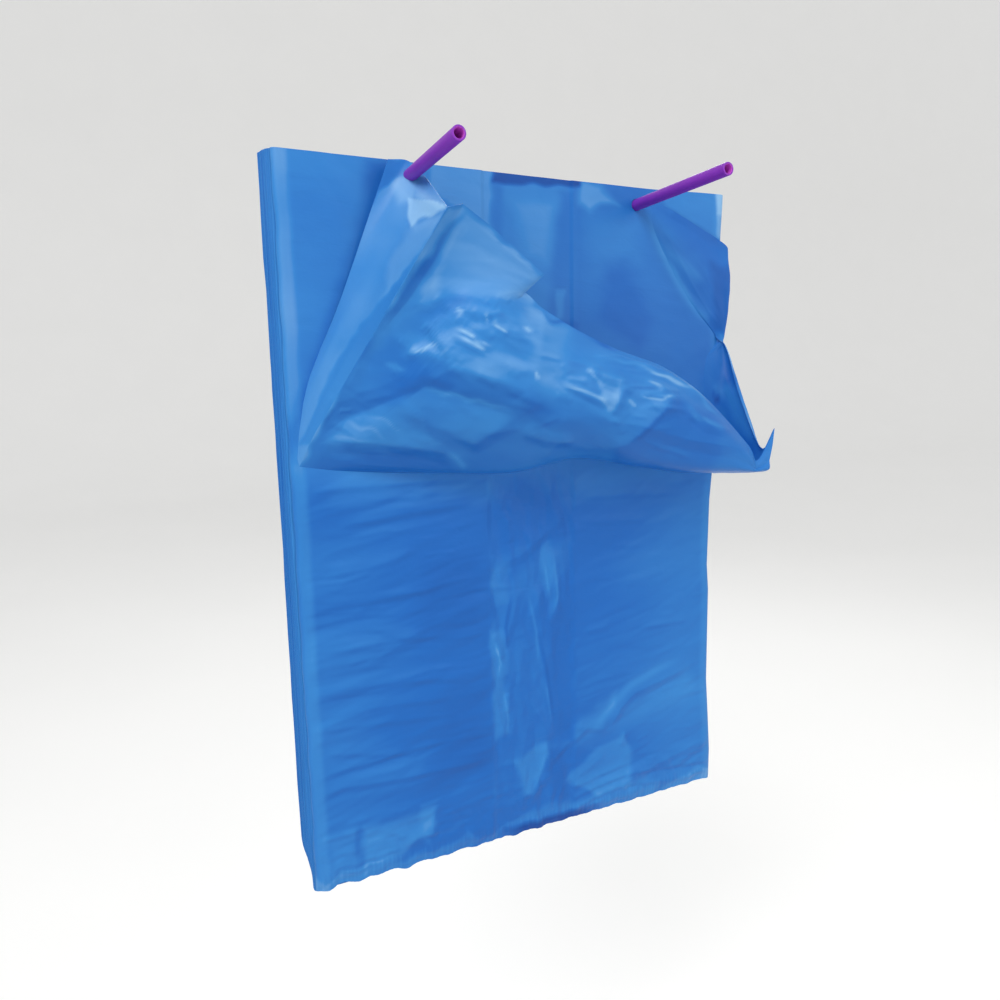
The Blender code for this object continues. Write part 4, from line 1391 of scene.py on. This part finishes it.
# %% Geometry tree: a hollow tube
tube_tree, given = new_tree("Hollow tube", "GeometryNodeTree", {
    "Geometry": ("Geometry",), "Radius": ("Float", 0.003), "Wall": ("Float", 0.001), "Length": ("Float", 0.1),
    "Edge": ("Float", 0.0002), "Centre": ("Vector",), "Material": ("Material",)}, {"Geometry": "Geometry"})
ring_radius = given["Radius"] - given["Wall"] * 0.5
round_path = get(tube_tree, "GeometryNodeCurvePrimitiveCircle", {"Resolution": 64, "Radius": ring_radius})
section = get(tube_tree, "GeometryNodeCurvePrimitiveQuadrilateral",
              {"Width": given["Wall"], "Height": given["Length"]})
softened = get(tube_tree, "GeometryNodeFilletCurve", {"Curve": section, "Count": 4, "Radius": given["Edge"]},
               mode="POLY")
swept = get(tube_tree, "GeometryNodeCurveToMesh", {"Curve": round_path, "Profile Curve": softened})
laid = get(tube_tree, "GeometryNodeTransform", {
    "Geometry": swept, "Translation": given["Centre"], "Rotation": (math.pi / 2, 0.0, 0.0)})
hand_out(tube_tree, Geometry=get(tube_tree, "GeometryNodeSetMaterial", {
    "Geometry": laid, "Material": given["Material"]}))

# %% [markdown]
# The bore is painted a paler purple: painted light, standing in for the light that comes through the
# plastic's wall, so the bore isn't dark.

# %% Material: purple tube
TUBE_SPECULAR = 0.28
TUBE_PURPLES = (0.205, 0.026, 0.41, 1), (0.272, 0.038, 0.51, 1)
# The paler purple painted inside the bore: painted light.
BORE_PAINTED_LIGHT = (0.58, 0.09, 0.62, 1)

tube_material, tree, shader = new_material("tube_purple")
where = get(tree, "ShaderNodeTexCoord", {}, "Object")
lines_along = get(tree, "ShaderNodeMapping", {"Vector": where, "Scale": (1.0, 0.03, 1.0)})
drawn_lines = get(tree, "ShaderNodeTexNoise", {"Vector": lines_along, "Scale": 1400.0, "Detail": 2.0})
clouds = get(tree, "ShaderNodeTexNoise", {"Vector": where, "Scale": 90.0, "Detail": 2.0})
purple = mixed(tree, clouds, *TUBE_PURPLES)
fill(tree, shader, {
    "Specular IOR Level": TUBE_SPECULAR,
    "Base Color": mixed(tree, read_mark(tree, "bore"), purple, BORE_PAINTED_LIGHT),
    "Roughness": get(tree, "ShaderNodeMapRange", {"Value": drawn_lines, "To Min": 0.40, "To Max": 0.54}),
    "Normal": get(tree, "ShaderNodeBump", {"Height": drawn_lines, "Strength": 0.12, "Distance": 0.0002})})
print("material:", tube_material.name)

# %% The two tubes
TUBE_BORE = 0.0047
TUBE_EDGE = 0.0003
BORE_MARGIN = 0.0001
SAME_PLACE = 0.000001
TUBE_SHARP_FROM = 40

tubes = {}
for side, (low, high) in tube_box.items():
    name = f"hollow_tube_{side}"
    axis = (low + high) / 2
    holder = link(bpy.data.objects.new(name, bpy.data.meshes.new("holder")))
    tubes[side] = made_by(tube_tree, holder, name, {
        "Radius": tube_radius, "Wall": tube_radius - TUBE_BORE / 2, "Length": high.y - low.y,
        "Edge": TUBE_EDGE, "Centre": tuple(axis), "Material": tube_material})
    mesh = tubes[side].data
    with editing(mesh) as edit:
        bmesh.ops.remove_doubles(edit, verts=edit.verts, dist=SAME_PLACE)
        bmesh.ops.recalc_face_normals(edit, faces=edit.faces)
    off_axis = [math.hypot(vertex.co.x - axis.x, vertex.co.z - axis.z) for vertex in mesh.vertices]
    # Marks the bore, which the material paints paler: painted light.
    write_marks(mesh, bore=[float(distance < TUBE_BORE / 2 + BORE_MARGIN) for distance in off_axis])
    shade(mesh, TUBE_SHARP_FROM)
    print(side, "tube:", len(mesh.polygons), "faces")

# %% [markdown]
# ## Putting the pieces on the object
#
# Each piece rides on the object's one body, and the solid it stands for is hidden.

# %% Riding on the body, and hiding the solids that the pieces stand for
punch(pressed_bag, tube_radius + HOLE_CLEARANCE)
for piece, material in ((pressed_bag, pressed_material), (open_film, open_material)):
    piece.data.materials.clear()
    piece.data.materials.append(material)

dress = [(pressed_bag, "front_bag", "film"), (open_film, "front_bag", "film"),
         (bag_leaves, "bag_block", "film"), (tubes["left"], "tube_left", "tube"),
         (tubes["right"], "tube_right", "tube")]
for piece, node, slot in dress:
    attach(piece, BODY)
    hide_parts(node)
    print(piece.name, "stands for", node, "with", len(piece.data.polygons), "faces")

# %% [markdown]
# ## Backdrop, world and lamps
#
# The object hangs, so the floor is well below it, and it sweeps up into a wall far behind. The world
# gives soft light from everywhere, a large lamp at the upper left is the key, a weak one from the
# right fills the shadows, and a small one from behind picks out the edges. The backdrop and the world
# are lifted towards white only where they are looked at, straight or in a reflection, so they send no
# extra light on to the film.

# %% Backdrop and world
FLOOR_Z, FLOOR_FRONT = -0.75, -9.0
SWEEP_RADIUS = 3.0
WALL_Y, WALL_TOP = 7.0, 9.0
BACKDROP_HALF = 14.0
LIFT_TO_WHITE = 0.22
WORLD_LIGHT, WORLD_LOOKED_AT = 0.62, 0.10
BACKDROP_GREYS = (0.80, 0.80, 0.79, 1), (0.84, 0.84, 0.83, 1)


def looked_at(tree):
    """1 for rays from the camera, from a reflection or through a clear thing, and 0 for plain light."""
    ray = add(tree, "ShaderNodeLightPath", {})
    camera_ray, glossy, clear = (Handed(tree, ray.outputs[f"Is {kind} Ray"])
                                 for kind in ("Camera", "Glossy", "Transmission"))
    return camera_ray.math("MAXIMUM", glossy.math("MAXIMUM", clear))


bend = np.linspace(0, math.pi / 2, 25)
profile = [(FLOOR_FRONT, FLOOR_Z)]
profile += [(WALL_Y - SWEEP_RADIUS * (1 - math.sin(a)), FLOOR_Z + SWEEP_RADIUS * (1 - math.cos(a)))
            for a in bend]
profile += [(WALL_Y, WALL_TOP)]
floor_mesh = bpy.data.meshes.new("backdrop")
floor_mesh.from_pydata([(x, y, z) for y, z in profile for x in (-BACKDROP_HALF, BACKDROP_HALF)], [],
                       grid_faces(len(profile), 2))
floor_mesh.shade_smooth()
floor = link(bpy.data.objects.new("backdrop", floor_mesh))
floor_material, tree, shader = new_material("backdrop_pale")
where = get(tree, "ShaderNodeTexCoord", {}, "Object")
grain = get(tree, "ShaderNodeTexNoise", {"Vector": where, "Scale": 3.0, "Detail": 4.0})
fill(tree, shader, {
    "Roughness": 0.9, "Specular IOR Level": 0.1, "Emission Strength": 1.0,
    "Base Color": mixed(tree, grain, *BACKDROP_GREYS),
    "Emission Color": looked_at(tree) * LIFT_TO_WHITE})
floor_mesh.materials.append(floor_material)

world = bpy.data.worlds.new("studio")
bpy.context.scene.world = world
world.use_nodes = True
tree = world.node_tree
strength = looked_at(tree).math("MULTIPLY_ADD", WORLD_LOOKED_AT, WORLD_LIGHT)
fill(tree, tree.nodes["Background"], {"Color": (1.0, 1.0, 1.0, 1), "Strength": strength})
print("floor at", FLOOR_Z)

# %% Lamps
# name, place, what it points at, size, power
LAMPS = [
    ("key", (-1.15, -1.1, 1.25), (0, 0, -0.15), 1.2, 23.5),
    ("fill", (0.9, -1.5, 0.2), (0, 0, -0.2), 1.4, 6.0),
    ("rim", (0.9, 1.0, 1.0), (0, 0, -0.15), 0.6, 8.0),
]
for name, place, aim, size, power in LAMPS:
    lamp = bpy.data.lights.new(name, "AREA")
    lamp.shape = "DISK"
    lamp.size = size
    lamp.energy = power
    made = link(bpy.data.objects.new(name, lamp))
    made.location = place
    made.rotation_euler = (Vector(aim) - Vector(place)).to_track_quat("-Z", "Y").to_euler()
bpy.context.scene.view_settings.view_transform = "Standard"
print("lamps set:", len(LAMPS))
